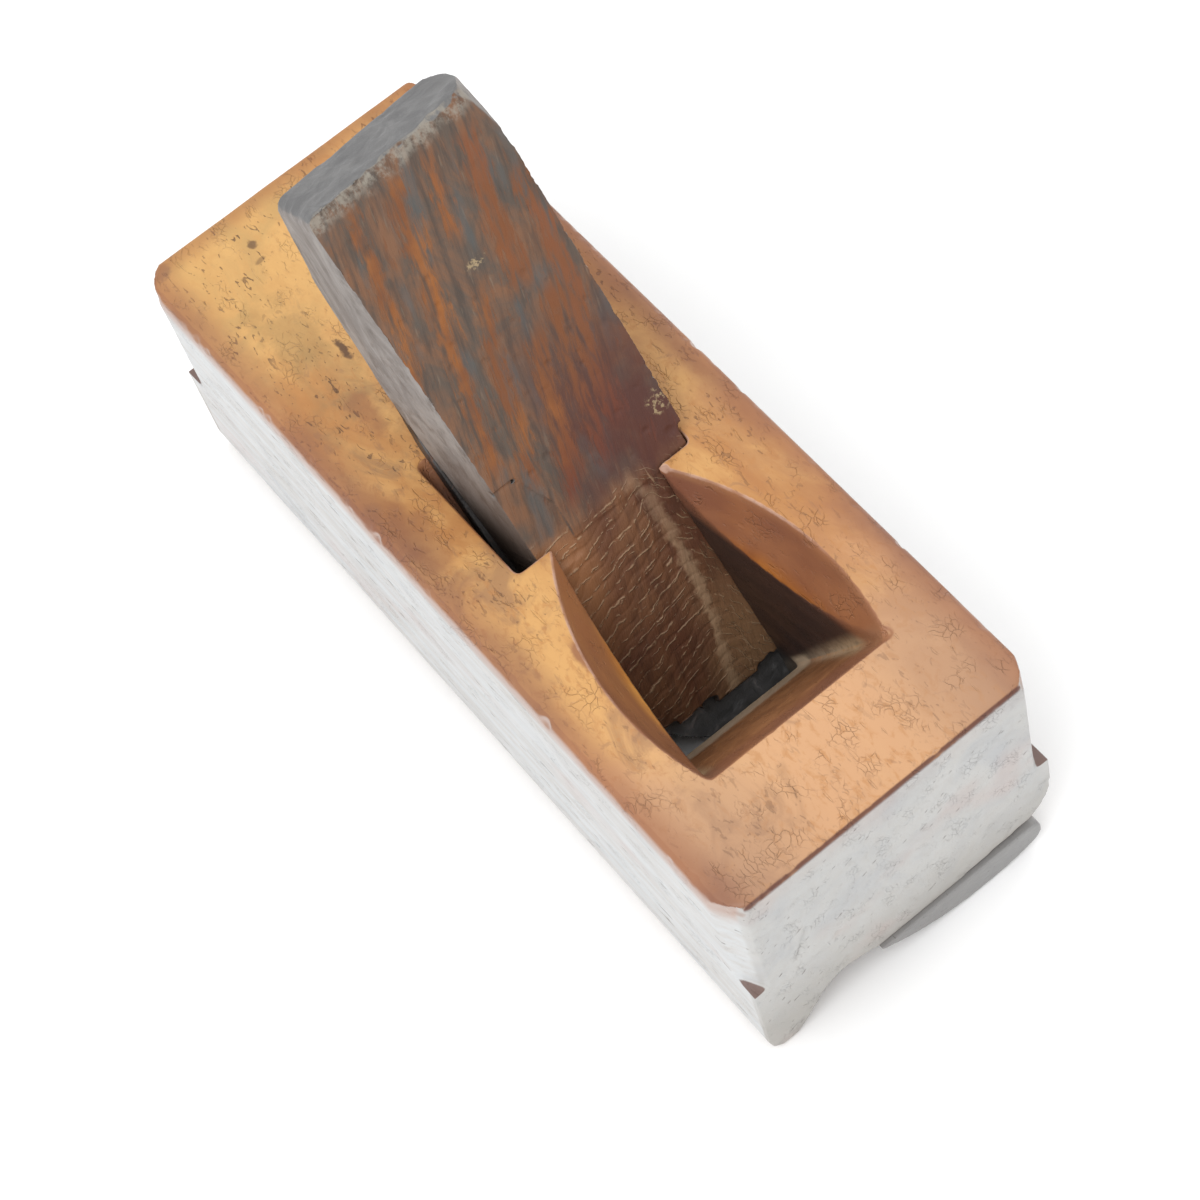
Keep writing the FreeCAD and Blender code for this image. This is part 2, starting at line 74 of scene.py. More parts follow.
class Graph:
    """Small helper that wires one node material."""

    def __init__(self, name: str) -> None:
        """Start an empty node material.

        Args:
            name: Name of the material.
        """
        self.material = bpy.data.materials.new(name)
        self.material.use_nodes = True
        self.tree = self.material.node_tree
        self.tree.nodes.clear()
        self.out = self.tree.nodes.new("ShaderNodeOutputMaterial")
        self.shader = self.tree.nodes.new("ShaderNodeBsdfPrincipled")
        self.link(self.shader.outputs[0], self.out.inputs["Surface"])
        coords = self.tree.nodes.new("ShaderNodeTexCoord")
        self.object = coords.outputs["Object"]
        self.normal = coords.outputs["Normal"]

    def link(self, a, b) -> None:
        """Join an output to an input."""
        self.tree.links.new(a, b)

    def feed(self, socket, value) -> None:
        """Put a value or an output into an input socket.

        Args:
            socket: Input socket to fill.
            value: Number, colour, Shade or output socket.
        """
        if isinstance(value, bpy.types.NodeSocket):
            self.link(value, socket)
        elif isinstance(value, Shade):
            socket.default_value = (*value.value, 1.0)
        elif isinstance(value, tuple) and len(value) == 3 and socket.type == "RGBA":
            socket.default_value = (*value, 1.0)
        else:
            socket.default_value = value

    def math(self, kind: str, a, b=0.0, clamp: bool = False):
        """Math node.

        Args:
            kind: Operation name.
            a: First value.
            b: Second value.
            clamp: Whether to clamp to 0..1.

        Returns:
            The result socket.
        """
        n = self.tree.nodes.new("ShaderNodeMath")
        n.operation, n.use_clamp = kind, clamp
        self.feed(n.inputs[0], a)
        self.feed(n.inputs[1], b)
        return n.outputs[0]

    def axes(self, vector):
        """Split a vector into x, y and z sockets."""
        n = self.tree.nodes.new("ShaderNodeSeparateXYZ")
        self.link(vector, n.inputs[0])
        return n.outputs[0], n.outputs[1], n.outputs[2]

    def mapped(self, scale, turn=(0.0, 0.0, 0.0), shift=(0.0, 0.0, 0.0), vector=None):
        """Object coordinates, turned and then scaled.

        Args:
            scale: Scale along each turned axis.
            turn: Euler angles in radians.
            shift: Offset before the turn.
            vector: Vector to map, object coordinates by default.

        Returns:
            The mapped vector socket.
        """
        first = self.tree.nodes.new("ShaderNodeMapping")
        first.inputs["Location"].default_value = shift
        first.inputs["Rotation"].default_value = turn
        self.link(vector or self.object, first.inputs["Vector"])
        second = self.tree.nodes.new("ShaderNodeMapping")
        second.inputs["Scale"].default_value = scale
        self.link(first.outputs[0], second.inputs["Vector"])
        return second.outputs[0]

    def noise(self, vector, detail: float = 3.0, rough: float = 0.5, warp: float = 0.0,
              scale: float = 1.0):
        """Noise value in 0..1 at a mapped vector."""
        n = self.tree.nodes.new("ShaderNodeTexNoise")
        n.inputs["Scale"].default_value = scale
        n.inputs["Detail"].default_value = detail
        n.inputs["Roughness"].default_value = rough
        n.inputs["Distortion"].default_value = warp
        self.link(vector, n.inputs["Vector"])
        return n.outputs["Fac"] if "Fac" in n.outputs else n.outputs[0]

    def cells(self, vector, feature: str = "F1", scale: float = 1.0):
        """Voronoi distance at a mapped vector."""
        n = self.tree.nodes.new("ShaderNodeTexVoronoi")
        n.feature = feature
        n.inputs["Scale"].default_value = scale
        self.link(vector, n.inputs["Vector"])
        return n.outputs["Distance"]

    def span(self, value, low: float, high: float, to_low: float = 0.0, to_high: float = 1.0):
        """Smooth clamped remap of a value.

        Args:
            value: Socket to remap.
            low: Input that gives to_low.
            high: Input that gives to_high.
            to_low: Output at low.
            to_high: Output at high.

        Returns:
            The remapped socket.
        """
        n = self.tree.nodes.new("ShaderNodeMapRange")
        n.interpolation_type = "SMOOTHSTEP"
        n.clamp = True
        self.feed(n.inputs["Value"], value)
        for name, number in (("From Min", low), ("From Max", high),
                             ("To Min", to_low), ("To Max", to_high)):
            n.inputs[name].default_value = number
        return n.outputs[0]

    def mix(self, share, a, b, kind: str = "MIX"):
        """Blend two colours.

        Args:
            share: Share of the second colour.
            a: First colour.
            b: Second colour.
            kind: Blend type.

        Returns:
            The colour socket.
        """
        n = self.tree.nodes.new("ShaderNodeMix")
        n.data_type, n.blend_type = "RGBA", kind
        n.clamp_factor = True
        self.feed(n.inputs[0], share)
        self.feed(n.inputs[6], a)
        self.feed(n.inputs[7], b)
        return n.outputs[2]

    def spot(self, centre, radii, soft: float = 0.5, grain: float = 90.0):
        """Soft ellipsoid mask, 1 at the centre.

        Args:
            centre: Centre in metres.
            radii: Half sizes in metres.
            soft: Share of the radius over which it fades.
            grain: Scale of the ragged outline.

        Returns:
            The mask socket.
        """
        scale = tuple(1.0 / r for r in radii)
        shift = tuple(-c for c in centre)
        vector = self.mapped(scale, shift=shift)
        n = self.tree.nodes.new("ShaderNodeVectorMath")
        n.operation = "LENGTH"
        self.link(vector, n.inputs[0])
        wob = self.noise(self.mapped((grain, grain, grain)), 4.0, 0.6)
        d = self.math("ADD", n.outputs["Value"], self.math("MULTIPLY", self.math("SUBTRACT", wob, 0.5), 1.9))
        return self.span(d, 1.0, 1.0 - soft)

    def bump(self, height, distance: float, strength: float = 1.0, over=None):
        """Bump normal from a height socket.

        Args:
            height: Height socket in 0..1.
            distance: Depth in metres.
            strength: Share of the effect.
            over: Normal socket of a coarser bump.

        Returns:
            The normal socket.
        """
        n = self.tree.nodes.new("ShaderNodeBump")
        n.inputs["Distance"].default_value = distance
        n.inputs["Strength"].default_value = strength
        self.link(height, n.inputs["Height"])
        if over is not None:
            self.link(over, n.inputs["Normal"])
        return n.outputs[0]


@dataclass(frozen=True)
class AgedBeech:
    """Old oiled beech: honey top, russet arrises, sides painted pale as glare, painted shade in the throat."""

    half_width: float = 0.035
    half_length: float = 0.0925
    top: float = 0.0626

    def make(self) -> bpy.types.Material:
        """Build the material.

        Returns:
            The finished material.
        """
        g = Graph("aged_beech")
        x, y, z = g.axes(g.object)
        nx, ny, nz = g.axes(g.normal)
        ax, ay = g.math("ABSOLUTE", x), g.math("ABSOLUTE", y)
        colour, flecks, crackle = self.crown(g, x, y, ax)
        inner = self.inner(g, ax, ay)
        colour = g.mix(g.math("MULTIPLY", inner, g.span(z, 0.0619, 0.0606)), colour,
                       self.throat(g, x, y, z, nx, ny, nz))
        colour = self.arris(g, colour, x, y, z, ax, nz)
        flank_grain_and_glare, dashes = self.flank_grain_and_glare(g, x, y, z, nz, inner)
        facing = g.math("MAXIMUM", g.span(nz, 0.62, 0.20), g.span(z, 0.056, 0.052))
        outer = g.math("MULTIPLY", g.math("SUBTRACT", 1.0, inner), facing)
        colour = g.mix(outer, colour, flank_grain_and_glare)
        ledge = g.math("MULTIPLY", g.span(z, 0.050, 0.045), g.span(nz, 0.55, 0.80))
        ledge = g.math("MULTIPLY", ledge, g.math("SUBTRACT", 1.0, inner))
        colour = g.mix(g.math("MULTIPLY", ledge, 0.92), colour, (0.135, 0.075, 0.060))
        rim = g.math("MULTIPLY", g.span(g.math("ABSOLUTE", g.math("ADD", y, 0.0922)), 0.0005, 0.0002),
                     g.span(z, 0.0606, 0.0618))
        colour = g.mix(g.math("MULTIPLY", rim, 0.9), colour, (0.100, 0.032, 0.022))
        # painted highlight: a pale pink line along the top edges of the flares, mixed with edge wear
        edge_wear_and_highlight = g.math("MULTIPLY", g.math("MULTIPLY", inner, g.span(z, 0.0606, 0.0614)),
                        g.math("MULTIPLY", g.span(nz, 0.985, 0.93), g.span(nz, 0.45, 0.65)))
        edge_wear_and_highlight = g.math("MULTIPLY", edge_wear_and_highlight, g.span(y, -0.056, -0.030))
        edge_wear_and_highlight = g.math("MULTIPLY", edge_wear_and_highlight, g.span(y, -0.009, -0.012))
        edge_wear_and_highlight = g.math("MULTIPLY", edge_wear_and_highlight, g.span(g.noise(g.mapped((240, 240, 240)), 3.0), 0.35, 0.60, 0.25, 1.0))
        colour = g.mix(g.math("MULTIPLY", edge_wear_and_highlight, 0.45), colour, (0.66, 0.45, 0.36))
        # painted shade: faces that turn downward get a darker brown
        under = g.math("MULTIPLY", g.span(nz, -0.25, -0.7), 0.75)
        colour = g.mix(under, colour, (0.30, 0.225, 0.16))
        g.link(colour, g.shader.inputs["Base Color"])
        rough = g.span(g.noise(g.mapped((160, 90, 160)), 3.0), 0.3, 0.7, 0.36, 0.52)
        g.link(rough, g.shader.inputs["Roughness"])
        g.shader.inputs["Specular IOR Level"].default_value = 0.35
        height = g.math("ADD", g.math("MULTIPLY", flecks, -0.7), g.math("MULTIPLY", crackle, -0.5))
        height = g.math("ADD", height, g.math("MULTIPLY", dashes, -0.6))
        g.link(g.bump(height, 0.00022), g.shader.inputs["Normal"])
        return g.material

    def inner(self, g: Graph, ax, ay):
        """Mask of the throat, the mortise and the sole's middle."""
        return g.math("MULTIPLY", g.span(ax, 0.0318, 0.0308), g.span(ay, 0.0904, 0.0896))

    def crown(self, g: Graph, x, y, ax):
        """Honey colour of the top with clouds, crackle, flecks and stains.

        Args:
            g: Graph being wired.
            x: Across coordinate.
            y: Along coordinate.
            ax: Distance from the middle line.

        Returns:
            Colour, fleck mask and crackle mask.
        """
        cloud = g.noise(g.mapped((46, 24, 46)), 5.0, 0.62, 0.7)
        patch = g.noise(g.mapped((90, 60, 90), shift=(0.3, 0.1, 0)), 5.0, 0.62, 0.9)
        fine = g.noise(g.mapped((560, 300, 560)), 4.0, 0.65, 0.6)
        colour = g.mix(g.span(cloud, 0.36, 0.62), Shade.AMBER, Shade.HONEY)
        toe = g.math("ADD", y, g.math("MULTIPLY", g.math("SUBTRACT", cloud, 0.5), 0.05))
        colour = g.mix(g.span(toe, -0.035, -0.075, 0.0, 0.8), colour, Shade.PEACH)
        mud = g.math("MULTIPLY", g.span(patch, 0.50, 0.68), g.span(x, 0.004, -0.022, 0.15, 0.75))
        colour = g.mix(g.math("MULTIPLY", mud, g.span(y, 0.055, 0.010, 0.5, 1.0)), colour, (0.30, 0.155, 0.075))
        heel = g.span(toe, 0.0, 0.06, 0.0, 0.6)
        colour = g.mix(g.math("MULTIPLY", heel, g.span(patch, 0.42, 0.70)), colour, Shade.OLIVE)
        right = g.math("MULTIPLY", g.span(x, 0.016, 0.029), g.span(patch, 0.33, 0.60, 0.05, 0.5))
        colour = g.mix(right, colour, (0.32, 0.130, 0.055))
        corner = g.math("MULTIPLY", g.span(y, -0.070, -0.090), g.span(ax, 0.014, 0.030, 0.15, 0.75))
        colour = g.mix(g.math("MULTIPLY", corner, g.span(cloud, 0.30, 0.60, 0.5, 1.0)), colour, (0.33, 0.165, 0.095))
        colour = g.mix(g.span(fine, 0.50, 0.68, 0.0, 0.55), colour, Shade.AMBER)
        smear = g.noise(g.mapped((260, 130, 260), shift=(0.9, 0.2, 0)), 4.0, 0.6, 1.2)
        colour = g.mix(g.span(smear, 0.60, 0.70, 0.0, 0.38), colour, (0.24, 0.125, 0.070))
        cell = g.cells(g.mapped((760, 430, 760), vector=self.warp(g, 0.0030)), "DISTANCE_TO_EDGE")
        where = g.span(g.noise(g.mapped((190, 130, 190), shift=(0.7, 0, 0)), 4.0), 0.50, 0.64)
        crackle = g.math("MULTIPLY", g.span(cell, 0.075, 0.0), where)
        colour = g.mix(g.math("MULTIPLY", crackle, 0.30), colour, Shade.RUSSET)
        flecks = g.noise(g.mapped((1050, 380, 1050)), 2.0, 0.5, 0.9)
        fleck = g.span(flecks, 0.62, 0.69)
        sun = g.math("MULTIPLY", g.span(y, 0.040, 0.072), g.span(x, 0.006, -0.010, 0.0, 0.45))
        colour = g.mix(sun, colour, (0.70, 0.43, 0.150))
        shade = g.math("MULTIPLY", g.span(y, -0.052, -0.074), g.span(ax, 0.006, 0.024, 0.0, 0.55))
        colour = g.mix(shade, colour, (0.37, 0.215, 0.130))
        share = g.math("ADD", g.math("MULTIPLY", g.span(y, -0.06, 0.05), 0.45), 0.30)
        fleck = g.math("MULTIPLY", fleck, g.math("MULTIPLY", g.span(patch, 0.38, 0.60, 0.35, 1.0), share))
        colour = g.mix(fleck, colour, Shade.UMBER)
        for spot, size, tint, share in (
                ((-0.0150, 0.0495), (0.0011, 0.0036), Shade.UMBER, 0.9),
                ((-0.0138, 0.0824), (0.0012, 0.0016), Shade.UMBER, 0.75),
                ((-0.0149, 0.0779), (0.0014, 0.0009), Shade.UMBER, 0.5),
                ((-0.0205, 0.0600), (0.0080, 0.0120), Shade.OLIVE, 0.42),
                ((-0.0213, -0.0350), (0.0024, 0.0050), Shade.RUSSET, 0.85),
                ((-0.0212, -0.0440), (0.0026, 0.0085), Shade.RUSSET, 0.9),
                ((-0.0200, 0.0330), (0.0035, 0.0080), Shade.RUSSET, 0.55),
                ((-0.0292, 0.0050), (0.0045, 0.0160), Shade.RUSSET, 0.5),
                ((-0.0322, 0.0900), (0.0040, 0.0030), Shade.GRIME, 0.6)):
            mask = g.spot((*spot, self.top), (*size, 0.006), 0.6, 420.0 if max(size) < 0.0045 else 150.0)
            colour = g.mix(g.math("MULTIPLY", mask, share), colour, tint)
        return colour, fleck, crackle

    def warp(self, g: Graph, reach: float):
        """Object coordinates pushed about by a soft noise."""
        n = g.tree.nodes.new("ShaderNodeTexNoise")
        n.inputs["Scale"].default_value = 160.0
        n.inputs["Detail"].default_value = 3.0
        g.link(g.object, n.inputs["Vector"])
        m = g.tree.nodes.new("ShaderNodeVectorMath")
        m.operation = "SCALE"
        m.inputs["Scale"].default_value = reach * 2.0
        g.link(n.outputs["Color"], m.inputs[0])
        a = g.tree.nodes.new("ShaderNodeVectorMath")
        a.operation = "ADD"
        g.link(g.object, a.inputs[0])
        g.link(m.outputs[0], a.inputs[1])
        return a.outputs[0]

    def throat(self, g: Graph, x, y, z, nx, ny, nz):
        """Colour inside the throat and the mortise, with painted shade on the upright side walls, the deep mouth and
        the mortise's back wall.

        Args:
            g: Graph being wired.
            x: Across coordinate.
            y: Along coordinate.
            z: Height.
            nx: Normal across.
            ny: Normal along.
            nz: Normal upward, not used.

        Returns:
            The colour socket.
        """
        grain = g.noise(g.mapped((210, 60, 210)), 4.0, 0.6, 0.5)
        flare = g.mix(g.span(grain, 0.35, 0.7), (0.43, 0.155, 0.026), (0.27, 0.084, 0.014))
        tip = g.span(y, -0.034, -0.018, 0.0, 0.8)
        flare = g.mix(tip, flare, (0.17, 0.048, 0.022))
        left = g.mix(g.span(grain, 0.35, 0.7), (0.72, 0.345, 0.080), (0.55, 0.225, 0.045))
        flare = g.mix(g.span(x, 0.004, -0.004), flare, left)
        # painted shade: the upright side walls inside the throat are painted near-black
        painted_cheek_shade = g.mix(g.span(grain, 0.3, 0.7), (0.066, 0.036, 0.027), (0.042, 0.024, 0.020))
        wall = g.mix(g.span(grain, 0.3, 0.7), (0.40, 0.185, 0.078), (0.27, 0.115, 0.050))
        upright = g.span(g.math("ABSOLUTE", nx), 0.86, 0.95)
        colour = g.mix(upright, flare, painted_cheek_shade)
        colour = g.mix(g.span(ny, 0.45, 0.65), colour, wall)
        # painted shade: the deep throat and the mouth go near-black
        deep = g.span(z, 0.020, 0.013)
        colour = g.mix(g.math("MULTIPLY", deep, 0.9), colour, Shade.SOOT)
        # painted shade: the mortise's back wall is painted dark brown where it lies in shade
        back = g.span(y, -0.0145, -0.0105)
        colour = g.mix(g.math("MULTIPLY", back, 0.92), colour, (0.060, 0.036, 0.024))
        return self.dust_and_painted_light(g, colour, x, y, z)

    def dust_and_painted_light(self, g: Graph, colour, x, y, z):
        """Pale dusting along the throat's front corners and its lip, painted paler lower down as painted light
        against the throat's shade.
        """
        wall_y = g.math("ADD", g.math("MULTIPLY", z, -0.625), 0.0230 + 0.625 * 0.0626 - 0.0925)
        off = g.math("ABSOLUTE", g.math("SUBTRACT", y, wall_y))
        side = g.math("ABSOLUTE", g.math("SUBTRACT", g.math("ABSOLUTE", x), 0.0198))
        both = g.math("SQRT", g.math("ADD", g.math("MULTIPLY", off, off),
                                     g.math("MULTIPLY", side, side)))
        speck = g.noise(g.mapped((600, 600, 600)), 3.0, 0.6)
        corner = g.math("MULTIPLY", g.span(both, 0.0048, 0.0012), g.span(speck, 0.3, 0.6, 0.6, 1.0))
        edge = g.math("ADD", z, g.math("MULTIPLY", g.math("SUBTRACT", speck, 0.5), 0.004))
        lip = g.math("MULTIPLY", g.span(edge, 0.0285, 0.0240), g.span(z, 0.0170, 0.0185))
        lip = g.math("MULTIPLY", lip, g.span(off, 0.003, 0.0012))
        share = g.math("MAXIMUM", g.math("MULTIPLY", corner, 0.9), g.math("MULTIPLY", lip, 0.85))
        # painted light: the dusting is painted paler lower down, to offset the shade deep in the throat
        return g.mix(share, colour, g.mix(g.span(z, 0.050, 0.024), (0.46, 0.335, 0.205), (0.62, 0.50, 0.36)))

    def arris(self, g: Graph, colour, x, y, z, ax, nz):
        """Russet wear bands along the top's rounded arrises."""
        wob = g.noise(g.mapped((70, 30, 70), shift=(0.2, 0.4, 0.1)), 3.0, 0.6)
        reach = g.math("ADD", ax, g.math("MULTIPLY", g.math("SUBTRACT", wob, 0.5), 0.006))
        near = g.span(reach, 0.0265, 0.0335, 0.0, 0.72)
        tilt = g.math("MULTIPLY", g.span(nz, 0.985, 0.86, 0.0, 0.85),
                      g.span(g.math("ABSOLUTE", y), 0.0912, 0.0900))
        top = g.span(z, 0.050, 0.055)
        band = g.math("MULTIPLY", g.math("MAXIMUM", near, tilt), top)
        colour = g.mix(band, colour, g.mix(g.span(wob, 0.35, 0.65), (0.30, 0.125, 0.060), (0.21, 0.085, 0.050)))
        heel = g.math("MULTIPLY", g.span(y, 0.086, 0.0915, 0.0, 0.6), top)
        return g.mix(heel, colour, (0.30, 0.12, 0.045))

    def flank_grain_and_glare(self, g: Graph, x, y, z, nz, inner):
        """Grey-beige of the sides and ends, painted pale as glare over the wood's honey colour.

        Args:
            g: Graph being wired.
            x: Across coordinate, not used.
            y: Along coordinate.
            z: Height.
            nz: Normal upward, not used.
            inner: Mask of the inside, not used.

        Returns:
            Colour and dash mask.
        """
        grain = g.noise(g.mapped((420, 22, 420)), 4.0, 0.6, 0.2)
        blot = g.noise(g.mapped((60, 28, 60), shift=(0.1, 0.6, 0.2)), 4.0, 0.6, 0.8)
        # painted glare: the pale grey base of the sides and ends stands in for glare over the honey wood; grain and
        # marks are real
        colour = g.mix(g.span(grain, 0.35, 0.75, 0.0, 0.55), Shade.ASH, (0.45, 0.40, 0.355))
        end = g.span(g.math("ABSOLUTE", y), 0.0905, 0.0915)
        colour = g.mix(g.math("MULTIPLY", end, 0.75), colour,
                       g.mix(g.span(blot, 0.4, 0.65), (0.455, 0.445, 0.425), (0.395, 0.395, 0.392)))
        low = g.math("MULTIPLY", end, g.span(z, 0.030, 0.006, 0.0, 0.6))
        colour = g.mix(low, colour, (0.31, 0.285, 0.25))
        colour = g.mix(g.span(blot, 0.58, 0.72, 0.0, 0.35), colour, (0.37, 0.38, 0.40))
        rosy = g.noise(g.mapped((50, 24, 50), shift=(0.5, 0.2, 0.9)), 3.0)
        colour = g.mix(g.span(rosy, 0.55, 0.75, 0.0, 0.5), colour, (0.47, 0.37, 0.34))
        dash = g.noise(g.mapped((900, 150, 900), shift=(0.2, 0.1, 0.4)), 1.5, 0.5)
        end_dash = g.noise(g.mapped((420, 900, 1300), turn=(0, math.radians(28), 0)), 1.5, 0.5)
        dashes = g.math("MAXIMUM", g.math("MULTIPLY", g.span(dash, 0.69, 0.75), g.math("SUBTRACT", 1.0, end)),
                        g.math("MULTIPLY", g.span(end_dash, 0.70, 0.76), end))
        colour = g.mix(g.math("MULTIPLY", dashes, 0.7), colour, (0.15, 0.12, 0.105))
        high = g.span(z, 0.0545, 0.0600, 0.0, 0.72)
        high = g.math("MULTIPLY", high, g.math("SUBTRACT", 1.0, g.math("MULTIPLY", end, 0.85)))
        colour = g.mix(high, colour, (0.40, 0.25, 0.19))
        return colour, dashes


@dataclass(frozen=True)
class GrimyHardwood:
    """Dark wedge wood: grey grime over orange-red grain, feathered below."""

    slope: float = math.radians(56.0)
    along_shift: float = -0.0446
    depth_shift: float = -0.04582
    skew: float = math.radians(12.4)

    def make(self) -> bpy.types.Material:
        """Build the material.

        Returns:
            The finished material.
        """
        g = Graph("grimy_hardwood")
        frame_map = g.tree.nodes.new("ShaderNodeMapping")
        frame_map.inputs["Rotation"].default_value = (-self.slope, 0, 0)
        frame_map.inputs["Location"].default_value = (0, self.along_shift, self.depth_shift)
        g.link(g.object, frame_map.inputs["Vector"])
        local = frame_map.outputs[0]
        x, t, d = g.axes(local)
        nx, ny, nz = g.axes(g.normal)
        # how squarely a face looks out of the front, the end or the left
        front = g.math("ADD", g.math("MULTIPLY", ny, -math.sin(self.slope)),
                       g.math("MULTIPLY", nz, math.cos(self.slope)))
        end = g.math("ADD", g.math("MULTIPLY", ny, math.cos(self.slope)),
                     g.math("MULTIPLY", nz, math.sin(self.slope)))
        fine = g.noise(g.mapped((700, 90, 300), turn=(0, 0, self.skew), vector=local), 4.0, 0.6, 0.3)
        blot = g.noise(g.mapped((120, 60, 120), vector=local), 5.0, 0.65, 0.8)
        base = g.mix(g.span(blot, 0.38, 0.62), (0.096, 0.072, 0.056), (0.185, 0.092, 0.050))
        base = g.mix(g.span(fine, 0.40, 0.70, 0.0, 0.7), base, (0.056, 0.045, 0.038))
        pale_grain = g.noise(g.mapped((1300, 150, 500), turn=(0, 0, self.skew), vector=local, shift=(0.3, 0, 0)), 3.0)
        base = g.mix(g.span(pale_grain, 0.62, 0.74, 0.0, 0.45), base, (0.20, 0.150, 0.105))
        cold = g.noise(g.mapped((230, 50, 230), turn=(0, 0, self.skew), vector=local, shift=(0.8, 0, 0)), 3.0)
        base = g.mix(g.span(cold, 0.52, 0.66, 0.0, 0.6), base, (0.082, 0.090, 0.090))
        upper, streaks = self.streaks(g, base, x, t, local, fine)
        lower, feathers = self.feathers(g, x, t, local, fine)
        below = g.span(g.math("ADD", t, g.math("MULTIPLY", g.math("SUBTRACT", blot, 0.5), 0.012)), 0.003, -0.002)
        # the heart of the face stays above the throat on its left
        colour = g.mix(below, upper, lower)
        colour = g.mix(g.span(front, 0.80, 0.45), colour, self.side(g, local, blot, fine))
        slate = g.mix(g.span(blot, 0.35, 0.65), (0.148, 0.146, 0.145), (0.122, 0.121, 0.122))
        colour = g.mix(g.span(end, 0.45, 0.75), colour, slate)
        # pale line along the top crest of the wedge's front: edge wear plus a painted highlight
        crest = g.math("SUBTRACT", g.math("SUBTRACT", t, 0.0774), g.math("MULTIPLY", x, 0.075))
        crest_wear_and_highlight = g.math("ADD", crest, g.math("MULTIPLY", g.math("SUBTRACT", blot, 0.5), 0.007))
        ridge = g.math("MULTIPLY", g.span(g.math("ABSOLUTE", crest_wear_and_highlight), 0.0030, 0.0006), g.span(front, 0.2, 0.5))
        ridge = g.math("MULTIPLY", ridge, g.span(g.noise(g.mapped((520, 420, 420)), 5.0, 0.7), 0.38, 0.60))
        colour = g.mix(g.math("MULTIPLY", ridge, 0.75), colour, (0.285, 0.258, 0.215))
        crumbs = g.span(g.noise(g.mapped((900, 900, 900), vector=local), 4.0, 0.7), 0.50, 0.60)
        for spot, size in (((0.0190, 0.0100), (0.0026, 0.0030)), ((0.0041, 0.0529), (0.0026, 0.0012))):
            pale = g.math("MULTIPLY", self.patch(g, local, spot, size), crumbs)
            colour = g.mix(g.math("MULTIPLY", pale, 0.8), colour, (0.36, 0.27, 0.15))
        g.link(colour, g.shader.inputs["Base Color"])
        rough = g.span(blot, 0.3, 0.7, 0.46, 0.66)
        g.link(rough, g.shader.inputs["Roughness"])
        g.shader.inputs["Specular IOR Level"].default_value = 0.32
        feathers = g.math("MULTIPLY", feathers, below)
        height = g.math("ADD", g.math("MULTIPLY", fine, -0.8), g.math("MULTIPLY", feathers, 0.5))
        height = g.math("ADD", height, g.math("MULTIPLY", streaks, -0.35))
        g.link(g.bump(height, 0.0003), g.shader.inputs["Normal"])
        return g.material

    def patch(self, g: Graph, local, centre, radii):
        """Ragged spot at a place on the front face."""
        v = g.mapped((1.0 / radii[0], 1.0 / radii[1], 0.0), shift=(-centre[0], -centre[1], 0.0), vector=local)
        n = g.tree.nodes.new("ShaderNodeVectorMath")
        n.operation = "LENGTH"
        g.link(v, n.inputs[0])
        wob = g.noise(g.mapped((500, 500, 500), vector=local), 3.0, 0.6)
        return g.span(g.math("ADD", n.outputs["Value"], g.math("SUBTRACT", wob, 0.5)), 1.0, 0.6)

    def streaks(self, g: Graph, base, x, t, local, fine):
        """Orange and red grain streaks of the upper face.

        Args:
            g: Graph being wired.
            base: Colour under the streaks.
            x: Across coordinate.
            t: Distance up the face.
            local: Face coordinates.
            fine: Fine grain noise.

        Returns:
            Colour and streak mask.
        """
        wander = g.noise(g.mapped((60, 45, 60), vector=local, shift=(0.4, 0, 0)), 4.0, 0.6)
        ragged = g.noise(g.mapped((900, 160, 300), turn=(0, 0, self.skew), vector=local), 4.0, 0.65, 0.4)
        drift = g.math("MULTIPLY", g.math("SUBTRACT", wander, 0.5), 0.006)
        wide = g.math("MULTIPLY", g.math("SUBTRACT", ragged, 0.44), 0.0085)
        xs = g.math("ADD", x, drift)
        total = None
        for middle, at, lean, low, high, half in (
                (-0.0130, 0.0575, 0.19, 0.036, 0.077, 0.0012),
                (-0.0069, 0.0470, 0.225, 0.015, 0.077, 0.0015),
                (0.0047, 0.0670, 0.19, 0.056, 0.077, 0.0010),
                (0.0120, 0.0590, 0.16, 0.041, 0.076, 0.0023),
                (0.0019, 0.0200, 0.33, 0.001, 0.038, 0.0019),
                (0.0165, 0.0400, 0.19, 0.009, 0.065, 0.0020),
                (-0.0031, 0.0300, 0.28, 0.009, 0.051, 0.0014),
                (0.0090, 0.0240, 0.25, 0.004, 0.044, 0.0015)):
            line = g.math("ADD", g.math("MULTIPLY", g.math("SUBTRACT", t, at), lean), middle)
            gap = g.math("ADD", g.math("ABSOLUTE", g.math("SUBTRACT", xs, line)), wide)
            mask = g.span(gap, half + 0.0016, half - 0.0006)
            mask = g.math("MULTIPLY", mask, g.span(t, low, low + 0.006))
            mask = g.math("MULTIPLY", mask, g.span(t, high, high - 0.005))
            total = mask if total is None else g.math("MAXIMUM", total, mask)
        stray = g.math("MULTIPLY", g.span(ragged, 0.56, 0.66), g.span(wander, 0.42, 0.58, 0.0, 0.55))
        total = g.math("MAXIMUM", total, stray)
        total = g.math("MULTIPLY", total, g.span(fine, 0.68, 0.44, 0.10, 0.95))
        hue = g.mix(g.span(x, -0.004, 0.014), (0.285, 0.102, 0.024), (0.190, 0.066, 0.026))
        hue = g.mix(g.span(wander, 0.40, 0.60), hue, (0.175, 0.062, 0.022))
        low = g.span(g.math("ADD", t, g.math("MULTIPLY", x, -0.6)), 0.024, 0.004)
        hue = g.mix(low, hue, Shade.BLOOD)
